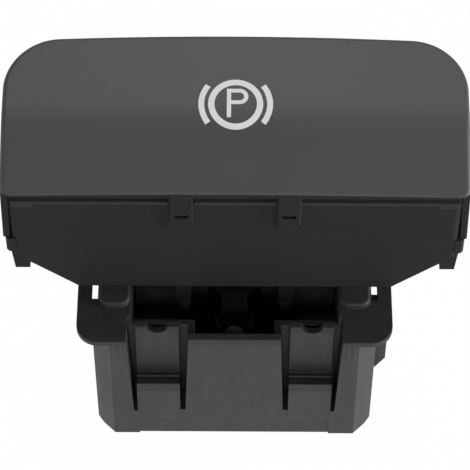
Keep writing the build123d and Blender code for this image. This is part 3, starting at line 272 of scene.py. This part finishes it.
def soft_touch_paint(finish):
    """Soft-touch polyurethane paint over ABS: sprayed, so a very fine orange peel breaks up its broad sheen.

    The tongues and the ends of the side walls lie behind the mask of the spray jig, so they stay bare ABS.
    The front of the lip is drawn as bare ABS too, darker than the paint, as painted shade of that face.
    """
    material = new_material("Soft touch paint")
    place = object_place(material)
    cloud = add_node(material, "ShaderNodeTexNoise", sockets={
        "Vector": place, "Scale": 1 / (9 * MM), "Detail": 3.0, "Roughness": 0.5}).outputs["Fac"]
    speck = add_node(material, "ShaderNodeTexNoise", sockets={
        "Vector": place, "Scale": 1 / (finish.grain * 1.4), "Detail": 2.0, "Roughness": 0.6}).outputs["Fac"]
    rough = add_node(material, "ShaderNodeMapRange", sockets={
        **PATTERN_RANGE, "Value": speck, "To Min": 0.50, "To Max": 0.60})
    paint = add_node(material, "ShaderNodeBsdfPrincipled", sockets={
        "Base Color": shade(material, finish.cover, cloud, 0.97, 1.03),
        "Roughness": rough.outputs["Result"],
        "IOR": 1.5,
        "Sheen Weight": 0.12,
        "Sheen Roughness": 0.5,
        "Normal": moulded_normal(material, finish.edge, speck, 0.012 * MM, 0.7),
    })
    parts = add_node(material, "ShaderNodeSeparateXYZ", sockets={"Vector": place}).outputs
    low = add_node(material, "ShaderNodeMapRange", sockets={
        "Value": parts["Z"],
        "From Min": finish.mask_height + 0.1 * MM, "From Max": finish.mask_height - 0.1 * MM})
    forward = add_node(material, "ShaderNodeMapRange", sockets={
        "Value": parts["Y"],
        "From Min": finish.mask_depth + 0.05 * MM, "From Max": finish.mask_depth - 0.05 * MM})
    behind = add_node(material, "ShaderNodeMath", operation="MULTIPLY", sockets={
        0: low.outputs["Result"], 1: forward.outputs["Result"]})
    # painted shade: the front of the lip is drawn as dark bare ABS, standing in for the shade on that face
    lip = add_node(material, "ShaderNodeMapRange", sockets={
        "Value": parts["Y"],
        "From Min": finish.lip_shade_depth + 0.06 * MM, "From Max": finish.lip_shade_depth - 0.06 * MM})
    bare = add_node(material, "ShaderNodeMath", operation="MAXIMUM", sockets={
        0: behind.outputs[0], 1: lip.outputs["Result"]})
    mixed = add_node(material, "ShaderNodeMixShader", sockets={
        0: bare.outputs[0], 1: paint.outputs[0], 2: abs_shader(material, finish).outputs[0]})
    add_node(material, "ShaderNodeOutputMaterial", sockets={"Surface": mixed.outputs[0]})
    return material


def abs_shader(material, finish, painted_highlight=None):
    """Black moulded ABS: an eroded mould leaves a fine even grain with a dull shine.

    The grain is drawn coarser than the real one. A painted highlight makes the plastic lighter where it is
    given.
    """
    place = object_place(material)
    grain = add_node(material, "ShaderNodeTexNoise", sockets={
        "Vector": place, "Scale": 1 / finish.grain, "Detail": 1.0, "Roughness": 0.6}).outputs["Fac"]
    flow = add_node(material, "ShaderNodeTexNoise", sockets={
        "Vector": object_place(material, stretch=(0.4, 1, 1)), "Scale": 1 / (7 * MM), "Detail": 3.0,
        "Roughness": 0.5}).outputs["Fac"]
    colour = shade(material, finish.carrier, flow, 0.94, 1.06)
    # painted highlight: the base colour is scaled lighter, standing in for light on the carrier's rim
    if painted_highlight is not None:
        paler = add_node(material, "ShaderNodeMapRange", sockets={
            "Value": painted_highlight, "To Min": 1.0, "To Max": finish.painted_highlight_gain})
        highlighted = add_node(material, "ShaderNodeVectorMath", operation="SCALE", sockets={
            0: colour, "Scale": paler.outputs["Result"]})
        colour = highlighted.outputs["Vector"]
    rough = add_node(material, "ShaderNodeMapRange", sockets={
        **PATTERN_RANGE, "Value": grain, "To Min": 0.60, "To Max": 0.70})
    return add_node(material, "ShaderNodeBsdfPrincipled", sockets={
        "Base Color": colour,
        "Roughness": rough.outputs["Result"],
        "IOR": 1.53,
        "Specular IOR Level": 0.12,
        "Normal": moulded_normal(material, finish.edge, grain, 0.05 * MM, 1.0),
    })


def black_abs(finish):
    """The carrier's black ABS, with a painted highlight that makes the face and ledge of the rim under the
    paddle lighter.
    """
    material = new_material("Black moulded ABS")
    parts = add_node(material, "ShaderNodeSeparateXYZ", sockets={"Vector": object_place(material)}).outputs
    # painted highlight on the rim's front face and on its ledge, which lies in the shade of the paddle's lip
    face = add_node(material, "ShaderNodeMapRange", sockets={
        "Value": parts["Y"],
        "From Min": finish.rim_depth + 0.05 * MM, "From Max": finish.rim_depth - 0.05 * MM})
    top = add_node(material, "ShaderNodeMapRange", sockets={
        "Value": parts["Z"], "From Min": finish.rim_height - 0.02 * MM, "From Max": finish.rim_height})
    painted_highlight = add_node(material, "ShaderNodeMath", operation="MAXIMUM", sockets={
        0: face.outputs["Result"], 1: top.outputs["Result"]})
    shader = abs_shader(material, finish, painted_highlight.outputs[0])
    add_node(material, "ShaderNodeOutputMaterial", sockets={"Surface": shader.outputs[0]})
    return material


def parting_line(material, place, height, normal):
    """The surface's direction, turned by the faint ridge on the corner blocks where the mould parted."""
    parts = add_node(material, "ShaderNodeSeparateXYZ", sockets={"Vector": place}).outputs
    away = add_node(material, "ShaderNodeMath", operation="SUBTRACT", sockets={0: parts["Z"], 1: height})
    near = add_node(material, "ShaderNodeMath", operation="ABSOLUTE", sockets={0: away.outputs[0]})
    line = add_node(material, "ShaderNodeMapRange", sockets={
        "Value": near.outputs[0], "From Min": 0.11 * MM, "From Max": 0.02 * MM})
    aside = add_node(material, "ShaderNodeMath", operation="ABSOLUTE", sockets={0: parts["X"]})
    outer = add_node(material, "ShaderNodeMapRange", sockets={
        "Value": aside.outputs[0],
        "From Min": CORNER_BLOCKS - 0.1 * MM, "From Max": CORNER_BLOCKS + 0.1 * MM})
    ridge = add_node(material, "ShaderNodeMath", operation="MULTIPLY", sockets={
        0: line.outputs["Result"], 1: outer.outputs["Result"]})
    bumps = add_node(material, "ShaderNodeBump", sockets={
        "Height": ridge.outputs[0], "Distance": 0.05 * MM, "Strength": 1.0, "Normal": normal})
    return bumps.outputs["Normal"]


def glass_filled_nylon(finish, name, part_height=None):
    """Glass-filled nylon: fibres near the skin leave it dull and faintly streaked, with a fine grain.

    The grain and the streaks are drawn coarser than the real ones. The flange is etched matt.
    """
    material = new_material(name)
    place = object_place(material)
    grain = add_node(material, "ShaderNodeTexNoise", sockets={
        "Vector": place, "Scale": 1 / (finish.grain * 1.2), "Detail": 2.0, "Roughness": 0.6}).outputs["Fac"]
    streak = add_node(material, "ShaderNodeTexNoise", sockets={
        "Vector": object_place(material, stretch=(1, 1, 0.18)), "Scale": 1 / (1.6 * MM), "Detail": 4.0,
        "Roughness": 0.6}).outputs["Fac"]
    parts = add_node(material, "ShaderNodeSeparateXYZ", sockets={"Vector": place}).outputs
    etched = add_node(material, "ShaderNodeMapRange", sockets={
        "Value": parts["Z"],
        "From Min": finish.etched_height - 0.2 * MM, "From Max": finish.etched_height + 0.2 * MM,
        "To Min": 0.0, "To Max": 0.14})
    skin = add_node(material, "ShaderNodeMapRange", sockets={
        **PATTERN_RANGE, "Value": streak, "To Min": 0.42, "To Max": 0.56})
    rough = add_node(material, "ShaderNodeMath", operation="ADD", sockets={
        0: skin.outputs["Result"], 1: etched.outputs["Result"]})
    normal = moulded_normal(material, finish.edge, grain, 0.06 * MM, 1.0)
    if part_height is not None:
        normal = parting_line(material, place, part_height, normal)
    shader = add_node(material, "ShaderNodeBsdfPrincipled", sockets={
        "Base Color": shade(material, finish.housing, streak, 0.86, 1.14),
        "Roughness": rough.outputs[0],
        "IOR": 1.53,
        "Normal": normal,
    })
    add_node(material, "ShaderNodeOutputMaterial", sockets={"Surface": shader.outputs[0]})
    return material


def patterned(name, colour, size, detail, shades, roughness, bumps=None, stretch=(1, 1, 1), **values):
    """A material with one pattern of lumps of a real size, which its colour, roughness and bumps follow.

    detail is the noise's detail and roughness. shades and roughness are the lowest and highest that the
    pattern gives, bumps the edge radius, depth and strength, and values the shader's other inputs.
    """
    material = new_material(name)
    lumps = add_node(material, "ShaderNodeTexNoise", sockets={
        "Vector": object_place(material, stretch), "Scale": 1 / size, "Detail": detail[0],
        "Roughness": detail[1]}).outputs["Fac"]
    rough = add_node(material, "ShaderNodeMapRange", sockets={
        **PATTERN_RANGE, "Value": lumps, "To Min": roughness[0], "To Max": roughness[1]})
    sockets = {
        "Base Color": shade(material, colour, lumps, *shades) if shades else colour,
        "Roughness": rough.outputs["Result"],
    }
    if bumps:
        radius, depth, strength = bumps
        sockets["Normal"] = moulded_normal(material, radius, lumps, depth, strength)
    sockets.update({key.replace("_", " "): value for key, value in values.items()})
    shader = add_node(material, "ShaderNodeBsdfPrincipled", sockets=sockets)
    add_node(material, "ShaderNodeOutputMaterial", sockets={"Surface": shader.outputs[0]})
    return material


def black_acetal(finish):
    """Acetal, moulded in a finely sandblasted tool: waxy and matt, as pieces that slide are. Its colour is
    drawn darker than black plastic, as painted shade of the deep well.
    """
    return patterned(
        "Black acetal", finish.inner, 1.2 * MM, (2.0, 0.5), shades=(0.95, 1.05), roughness=(0.60, 0.70),
        bumps=(finish.edge * 0.7, 0.01 * MM, 0.4), IOR=1.48, Specular_IOR_Level=0.15)


def white_ink(finish):
    """Pad-printed white ink: matt, with the slight unevenness of a thin film."""
    return patterned(
        "White ink", finish.sign, 0.5 * MM, (3.0, 0.5), shades=(0.97, 1.03), roughness=(0.48, 0.60), IOR=1.5)


def smoked_polycarbonate():
    """Smoked polycarbonate of the light guides: satin, to spread the light, and dark while that is off."""
    return patterned(
        "Smoked polycarbonate", srgb("#1A1C1E"), 2 * MM, (2.0, 0.5), shades=None, roughness=(0.38, 0.46),
        IOR=1.585, Specular_IOR_Level=0.15, Transmission_Weight=0.3)


def milky_polycarbonate():
    """Diffusing polycarbonate: filled with white pigment, so light spreads in it."""
    return patterned(
        "Milky polycarbonate", srgb("#DADDE0"), 0.8 * MM, (2.0, 0.5), shades=(0.97, 1.02),
        roughness=(0.35, 0.45), IOR=1.585, Subsurface_Weight=0.3, Subsurface_Scale=0.5 * MM)


def bare_metal(name, colour, roughness, stretch, size):
    """A bare metal with the marks of how its surface was made, drawn out along one direction."""
    return patterned(
        name, srgb(colour), size, (3.0, 0.6), shades=(0.93, 1.05),
        roughness=(roughness - 0.06, roughness + 0.08), bumps=(METAL_EDGE, 0.004 * MM, 0.5), stretch=stretch,
        Metallic=1.0)


def ground_steel():
    """Ground steel pin: grinding runs round it, so the marks are long round the axis and short along it."""
    return bare_metal("Ground steel", "#B9BBBE", 0.25, (6, 1, 1), 0.4 * MM)


def zinc_plated_steel():
    """Zinc-plated screws: bright, with a faint grain of crystals."""
    return bare_metal("Zinc plated steel", "#B4B8BA", 0.32, (1, 1, 1), 0.25 * MM)


def spring_wire():
    """Drawn spring wire: smooth, with a dull brown trace of its oil temper."""
    return bare_metal("Spring wire", "#8F8B86", 0.30, (1, 1, 3), 0.2 * MM)


def sintered_bronze():
    """Sintered bronze: pressed powder, so it is dull and finely pitted."""
    return bare_metal("Sintered bronze", "#A9814A", 0.48, (1, 1, 1), 0.12 * MM)


def gold_plate():
    """Gold flash over nickel, on contacts and pins: bright and warm, with faint marks across the pins."""
    return bare_metal("Gold plate", "#D8B063", 0.22, (1, 1, 4), 0.2 * MM)


def solder_resist():
    """Green solder resist: a glossy film that the glass weave under it makes slightly wavy."""
    material = new_material("Solder resist")
    place = object_place(material)
    threads = 1 / (2.6 * MM)
    warp = add_node(material, "ShaderNodeTexWave", bands_direction="X", sockets={
        "Vector": place, "Scale": threads})
    weft = add_node(material, "ShaderNodeTexWave", bands_direction="Y", sockets={
        "Vector": place, "Scale": threads})
    weave = add_node(material, "ShaderNodeMath", operation="MULTIPLY", sockets={
        0: warp.outputs["Fac"], 1: weft.outputs["Fac"]}).outputs[0]
    shader = add_node(material, "ShaderNodeBsdfPrincipled", sockets={
        "Base Color": shade(material, srgb("#17492B"), weave, 0.9, 1.1),
        "Roughness": 0.28,
        "IOR": 1.55,
        "Normal": moulded_normal(material, SMALL_EDGE, weave, 0.006 * MM, 0.4),
    })
    add_node(material, "ShaderNodeOutputMaterial", sockets={"Surface": shader.outputs[0]})
    return material


def chip_epoxy():
    """Moulded epoxy of chips and resistors: black, dull and sandy."""
    return patterned(
        "Chip epoxy", srgb("#202022"), 0.06 * MM, (2.0, 0.5), shades=(0.9, 1.1), roughness=(0.55, 0.70),
        bumps=(SMALL_EDGE, 0.006 * MM, 0.6), IOR=1.55)


def led_lens():
    """Silicone over yellow phosphor, on a light source that is off: pale yellow and satin."""
    return patterned(
        "LED lens", srgb("#D9C36A"), 0.08 * MM, (2.0, 0.5), shades=(0.94, 1.04), roughness=(0.3, 0.4),
        IOR=1.41)


def nitrile_rubber():
    """Nitrile rubber of the stop buffers: black, dull, slightly bloomed."""
    return patterned(
        "Nitrile rubber", srgb("#242426"), 0.5 * MM, (4.0, 0.5), shades=(0.9, 1.15), roughness=(0.7, 0.85),
        bumps=(0.1 * MM, 0.02 * MM, 0.5), IOR=1.52)


def give(node_name, material):
    """Gives a CAD node one finish."""
    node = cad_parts[node_name]
    node.data.materials.clear()
    node.data.materials.append(material)


# The sign

def paddle_y(up):
    """The place along Y of a point that lies so far up the paddle's surface from its crest line."""
    paddle = settings("switch_paddle")
    half_turn = (paddle.lower_slope - paddle.upper_slope) / 2
    tangent = paddle.bend_radius * math.tan(half_turn)
    arc = paddle.bend_radius * half_turn
    if up > arc:
        return paddle.crest_y + (tangent + up - arc) * math.cos(paddle.upper_slope)
    if up < -arc:
        return paddle.crest_y + (-tangent + up + arc) * math.cos(paddle.lower_slope)
    top_y = paddle.crest_y + tangent * math.cos(paddle.upper_slope)
    turned = paddle.upper_slope + (arc - up) / paddle.bend_radius
    return top_y - paddle.bend_radius * (math.sin(turned) - math.sin(paddle.upper_slope))


def surface_tree(node_name):
    """A search tree of a CAD node's surface."""
    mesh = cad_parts[node_name].data
    corners = [vertex.co.copy() for vertex in mesh.vertices]
    return BVHTree.FromPolygons(corners, [tuple(face.vertices) for face in mesh.polygons])


def lay_print(shape, tree, sign):
    """Lays a flat shape, drawn about the sign's middle, on the paddle, and gives it the print's thickness."""
    for vertex in shape.verts:
        start = Vector((vertex.co.x, paddle_y(sign.middle_up + vertex.co.y), WELL_ABOVE))
        place, direction, _, _ = tree.ray_cast(start, Vector((0, 0, -1)))
        if place is None:
            raise RuntimeError("the sign lies outside the paddle")
        vertex.co = place + direction * sign.print_lift
    bmesh.ops.recalc_face_normals(shape, faces=shape.faces)
    if sum(face.normal.z for face in shape.faces) < 0:
        bmesh.ops.reverse_faces(shape, faces=shape.faces)
    bmesh.ops.solidify(shape, geom=shape.faces[:], thickness=-sign.print_thick)


def add_piece(name, shape, body, material):
    """Turns a bmesh into a piece that rides on a body."""
    mesh = bpy.data.meshes.new(name)
    shape.to_mesh(mesh)
    shape.free()
    piece = bpy.data.objects.new(name, mesh)
    bpy.context.scene.collection.objects.link(piece)
    mesh.materials.append(material)
    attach(piece, body)
    return piece


def spun_band(shape, outer, line, start, turn, steps):
    """Spins a short line, drawn across a band's width, about the middle."""
    across = 4
    ends = [Vector((outer - line * i / across, 0, 0)) for i in range(across + 1)]
    points = [shape.verts.new(Matrix.Rotation(start, 3, "Z") @ end) for end in ends]
    edges = [shape.edges.new(pair) for pair in zip(points, points[1:])]
    full = abs(turn) > math.radians(359)
    bmesh.ops.spin(
        shape, geom=points + edges, cent=(0, 0, 0), axis=(0, 0, 1), angle=turn, steps=steps, use_merge=full,
        use_duplicate=False)


class SWITCH_OT_sign_ring(bpy.types.Operator):
    """Make the printed ring of the sign"""

    bl_idname = "switch.sign_ring"
    bl_label = "Sign Ring"

    def execute(self, context):
        sign = settings("switch_sign")
        shape = bmesh.new()
        spun_band(shape, sign.ring_radius, sign.ring_line, 0, math.tau, sign.ring_steps)
        bmesh.ops.remove_doubles(shape, verts=shape.verts, dist=SAME_PLACE)
        lay_print(shape, surface_tree("lever_cover"), sign)
        add_piece("sign_ring", shape, "lever", white_ink(settings("switch_finish")))
        return {"FINISHED"}


class SWITCH_OT_sign_arcs(bpy.types.Operator):
    """Make the two printed arcs beside the ring"""

    bl_idname = "switch.sign_arcs"
    bl_label = "Sign Arcs"

    def execute(self, context):
        sign = settings("switch_sign")
        ink = white_ink(settings("switch_finish"))
        tree = surface_tree("lever_cover")
        steps = max(4, round(sign.ring_steps * sign.arc_reach * 2 / math.tau))
        for side, middle in (("right", 0.0), ("left", math.pi)):
            shape = bmesh.new()
            start = middle - sign.arc_reach
            spun_band(shape, sign.arc_radius, sign.arc_line, start, sign.arc_reach * 2, steps)
            lay_print(shape, tree, sign)
            add_piece("sign_arc_" + side, shape, "lever", ink)
        return {"FINISHED"}


class SWITCH_OT_sign_letter(bpy.types.Operator):
    """Make the printed letter in the ring"""

    bl_idname = "switch.sign_letter"
    bl_label = "Sign Letter"

    def execute(self, context):
        sign = settings("switch_sign")
        shape = bmesh.new()
        left, top, line = sign.letter_left, sign.letter_top, sign.letter_line
        stem = bmesh.ops.create_grid(shape, x_segments=2, y_segments=20, size=0.5)
        bmesh.ops.scale(shape, verts=stem["verts"], vec=(line, sign.letter_tall, 1))
        bmesh.ops.translate(shape, verts=stem["verts"], vec=(left + line / 2, top - sign.letter_tall / 2, 0))
        self.add_bowl(shape, sign)
        lay_print(shape, surface_tree("lever_cover"), sign)
        add_piece("sign_letter", shape, "lever", white_ink(settings("switch_finish")))
        return {"FINISHED"}

    def add_bowl(self, shape, sign):
        """The bowl: a straight, half a turn and a straight back to the stem, drawn by one moving line."""
        line = sign.letter_line
        inner = sign.letter_left + line
        turn_x = sign.letter_left + sign.letter_wide - sign.letter_bowl / 2
        middle = sign.letter_top - sign.letter_bowl / 2
        across = 3
        points = [shape.verts.new((inner, sign.letter_top - line * i / across, 0)) for i in range(across + 1)]
        moving = points + [shape.edges.new(pair) for pair in zip(points, points[1:])]
        moving = self.extrude_on(shape, moving, turn_x - inner)
        spun = bmesh.ops.spin(
            shape, geom=moving, cent=(turn_x, middle, 0), axis=(0, 0, 1), angle=-math.pi, steps=24,
            use_duplicate=False)
        self.extrude_on(shape, spun["geom_last"], inner - turn_x)

    def extrude_on(self, shape, moving, distance):
        """Extrudes a line of edges along X and returns its new end."""
        edges = [part for part in moving if isinstance(part, bmesh.types.BMEdge)]
        new = bmesh.ops.extrude_edge_only(shape, edges=edges)["geom"]
        points = [part for part in new if isinstance(part, bmesh.types.BMVert)]
        bmesh.ops.translate(shape, verts=points, vec=(distance, 0, 0))
        ends = set(points)
        return points + [edge for edge in shape.edges if set(edge.verts) <= ends]


class SWITCH_OT_lever_finish(bpy.types.Operator):
    """Finish the pieces of the lever"""

    bl_idname = "switch.lever_finish"
    bl_label = "Lever Finish"

    def execute(self, context):
        finish = settings("switch_finish")
        give("lever_cover", soft_touch_paint(finish))
        give("lever_carrier", black_abs(finish))
        give("upper_light_guide", smoked_polycarbonate())
        give("symbol_diffuser", milky_polycarbonate())
        return {"FINISHED"}


class SWITCH_OT_housing_finish(bpy.types.Operator):
    """Finish the housing, its bottom cover and the screws"""

    bl_idname = "switch.housing_finish"
    bl_label = "Housing Finish"

    parting_height: FloatProperty(
        name="Parting Height", description="Height of the faint line that the mould's halves leave",
        default=8.9 * MM, unit="LENGTH")

    def execute(self, context):
        finish = settings("switch_finish")
        give("housing", glass_filled_nylon(finish, "Glass filled nylon", part_height=self.parting_height))
        give("bottom_cover", glass_filled_nylon(finish, "Bottom cover nylon"))
        give("cover_screws", zinc_plated_steel())
        return {"FINISHED"}


class SWITCH_OT_mechanism_finish(bpy.types.Operator):
    """Finish the hinge, the yoke, the plungers, the springs and the slider"""

    bl_idname = "switch.mechanism_finish"
    bl_label = "Mechanism Finish"

    def execute(self, context):
        acetal = black_acetal(settings("switch_finish"))
        for name in ("guide_frame", "drive_yoke", "front_plunger", "rear_plunger", "contact_slider"):
            give(name, acetal)
        wire = spring_wire()
        give("front_spring", wire)
        give("rear_spring", wire)
        give("pivot_pin", ground_steel())
        give("pivot_bushes", sintered_bronze())
        give("yoke_screws", zinc_plated_steel())
        give("stop_buffers", nitrile_rubber())
        return {"FINISHED"}


class SWITCH_OT_board_finish(bpy.types.Operator):
    """Finish the board and what it carries"""

    bl_idname = "switch.board_finish"
    bl_label = "Board Finish"

    def execute(self, context):
        give("circuit_board", solder_resist())
        gold = gold_plate()
        give("connector_pins", gold)
        give("contact_wipers", gold)
        epoxy = chip_epoxy()
        give("control_chip", epoxy)
        give("chip_resistors", epoxy)
        give("backlight_led", led_lens())
        give("lower_light_guide", smoked_polycarbonate())
        return {"FINISHED"}


class SWITCH_OT_studio(bpy.types.Operator):
    """Set up the pale floor, the softboxes and the camera"""

    bl_idname = "switch.studio"
    bl_label = "Studio"

    def execute(self, context):
        studio = settings("switch_studio")
        self.add_floor(studio.floor)
        self.add_world(studio.room_light)
        aim = Vector((0, 0, studio.aim_height))
        for name, (offset, size, power) in SOFTBOXES.items():
            self.add_softbox(name, aim, offset, size, getattr(studio, power))
        self.add_camera(studio, aim)
        context.scene.view_settings.view_transform = "Standard"
        return {"FINISHED"}

    def add_floor(self, colour):
        """A pale table, shown white to the camera and through clear pieces, as a cut-out picture shows it."""
        shape = bmesh.new()
        bmesh.ops.create_grid(shape, x_segments=1, y_segments=1, size=FLOOR_SIZE)
        bmesh.ops.translate(shape, verts=shape.verts, vec=(0, 0, -FLOOR_DROP))
        mesh = bpy.data.meshes.new("floor")
        shape.to_mesh(mesh)
        shape.free()
        floor = bpy.data.objects.new("floor", mesh)
        bpy.context.scene.collection.objects.link(floor)
        material = new_material("White floor")
        matt = add_node(material, "ShaderNodeBsdfDiffuse", sockets={"Color": colour})
        white = add_node(material, "ShaderNodeEmission", sockets={
            "Color": (1, 1, 1, 1), "Strength": FLOOR_WHITE})
        ray = add_node(material, "ShaderNodeLightPath")
        seen = add_node(material, "ShaderNodeMath", operation="MAXIMUM", sockets={
            0: ray.outputs["Is Camera Ray"], 1: ray.outputs["Is Transmission Ray"]})
        shown = add_node(material, "ShaderNodeMath", operation="MULTIPLY", sockets={
            0: seen.outputs[0], 1: FLOOR_SHOWN})
        mirrored = add_node(material, "ShaderNodeMath", operation="MULTIPLY", sockets={
            0: ray.outputs["Is Glossy Ray"], 1: FLOOR_MIRRORED})
        share = add_node(material, "ShaderNodeMath", operation="MAXIMUM", sockets={
            0: shown.outputs[0], 1: mirrored.outputs[0]})
        mixed = add_node(material, "ShaderNodeMixShader", sockets={
            0: share.outputs[0], 1: matt.outputs[0], 2: white.outputs[0]})
        add_node(material, "ShaderNodeOutputMaterial", sockets={"Surface": mixed.outputs[0]})
        mesh.materials.append(material)

    def add_world(self, strength):
        """Even light from all round, and white where the camera sees past the floor."""
        world = bpy.data.worlds.new("Studio")
        world.use_nodes = True
        world.node_tree.nodes.clear()
        light = add_node(world, "ShaderNodeBackground", sockets={"Strength": strength})
        white = add_node(world, "ShaderNodeBackground")
        ray = add_node(world, "ShaderNodeLightPath")
        mirrored = add_node(world, "ShaderNodeMath", operation="MULTIPLY", sockets={
            0: ray.outputs["Is Glossy Ray"], 1: ROOM_MIRRORED})
        share = add_node(world, "ShaderNodeMath", operation="MAXIMUM", sockets={
            0: ray.outputs["Is Camera Ray"], 1: mirrored.outputs[0]})
        mixed = add_node(world, "ShaderNodeMixShader", sockets={
            0: share.outputs[0], 1: light.outputs[0], 2: white.outputs[0]})
        add_node(world, "ShaderNodeOutputWorld", sockets={"Surface": mixed.outputs[0]})
        bpy.context.scene.world = world

    def add_softbox(self, name, aim, offset, size, power):
        """A square lamp that points at the switch."""
        lamp = bpy.data.lights.new(name, "AREA")
        lamp.size = size
        lamp.energy = power
        holder = bpy.data.objects.new(name, lamp)
        holder.location = aim + Vector(offset)
        holder.rotation_euler = (aim - holder.location).to_track_quat("-Z", "Y").to_euler()
        bpy.context.scene.collection.objects.link(holder)

    def add_camera(self, studio, aim):
        """A camera at the photograph's viewing angle."""
        data = bpy.data.cameras.new("Camera")
        data.sensor_width = 36.0
        data.lens = studio.focal_pixels / PHOTO_SIDE * data.sensor_width
        data.clip_start = 0.01
        camera = bpy.data.objects.new("Camera", data)
        back = Vector((0, -math.cos(studio.elevation), math.sin(studio.elevation)))
        turn = Matrix.Rotation(math.pi / 2 - studio.elevation, 4, "X") @ Matrix.Rotation(studio.roll, 4, "Z")
        camera.matrix_world = Matrix.Translation(aim + back * studio.distance) @ turn
        bpy.context.scene.collection.objects.link(camera)
        bpy.context.scene.camera = camera


STEPS = (
    SWITCH_OT_studio,
    SWITCH_OT_lever_finish,
    SWITCH_OT_housing_finish,
    SWITCH_OT_mechanism_finish,
    SWITCH_OT_board_finish,
    SWITCH_OT_sign_ring,
    SWITCH_OT_sign_arcs,
    SWITCH_OT_sign_letter,
)

GROUPS = {
    "switch_sign": BrakeSwitchSign,
    "switch_paddle": BrakeSwitchPaddle,
    "switch_finish": BrakeSwitchFinish,
    "switch_studio": BrakeSwitchStudio,
}


class SWITCH_PT_panel(bpy.types.Panel):
    """Lists the steps and the settings"""

    bl_idname = "SWITCH_PT_panel"
    bl_label = "Parking Brake Switch"
    bl_space_type = "VIEW_3D"
    bl_region_type = "UI"
    bl_category = "Brake Switch"

    def draw(self, context):
        column = self.layout.column()
        for step in STEPS:
            column.operator(step.bl_idname)
        for name in GROUPS:
            group = getattr(context.scene, name)
            box = self.layout.box()
            for setting in group.bl_rna.properties:
                if setting.identifier not in {"rna_type", "name"}:
                    box.prop(group, setting.identifier)


def register():
    for group in GROUPS.values():
        bpy.utils.register_class(group)
    for name, group in GROUPS.items():
        setattr(bpy.types.Scene, name, PointerProperty(type=group))
    for step in STEPS + (SWITCH_PT_panel,):
        bpy.utils.register_class(step)


def unregister():
    for step in reversed(STEPS + (SWITCH_PT_panel,)):
        bpy.utils.unregister_class(step)
    for name, group in GROUPS.items():
        delattr(bpy.types.Scene, name)
        bpy.utils.unregister_class(group)


def main():
    register()
    for step in STEPS:
        group, operator = step.bl_idname.split(".")
        getattr(getattr(bpy.ops, group), operator)()


if __name__ == "__main__":
    main()
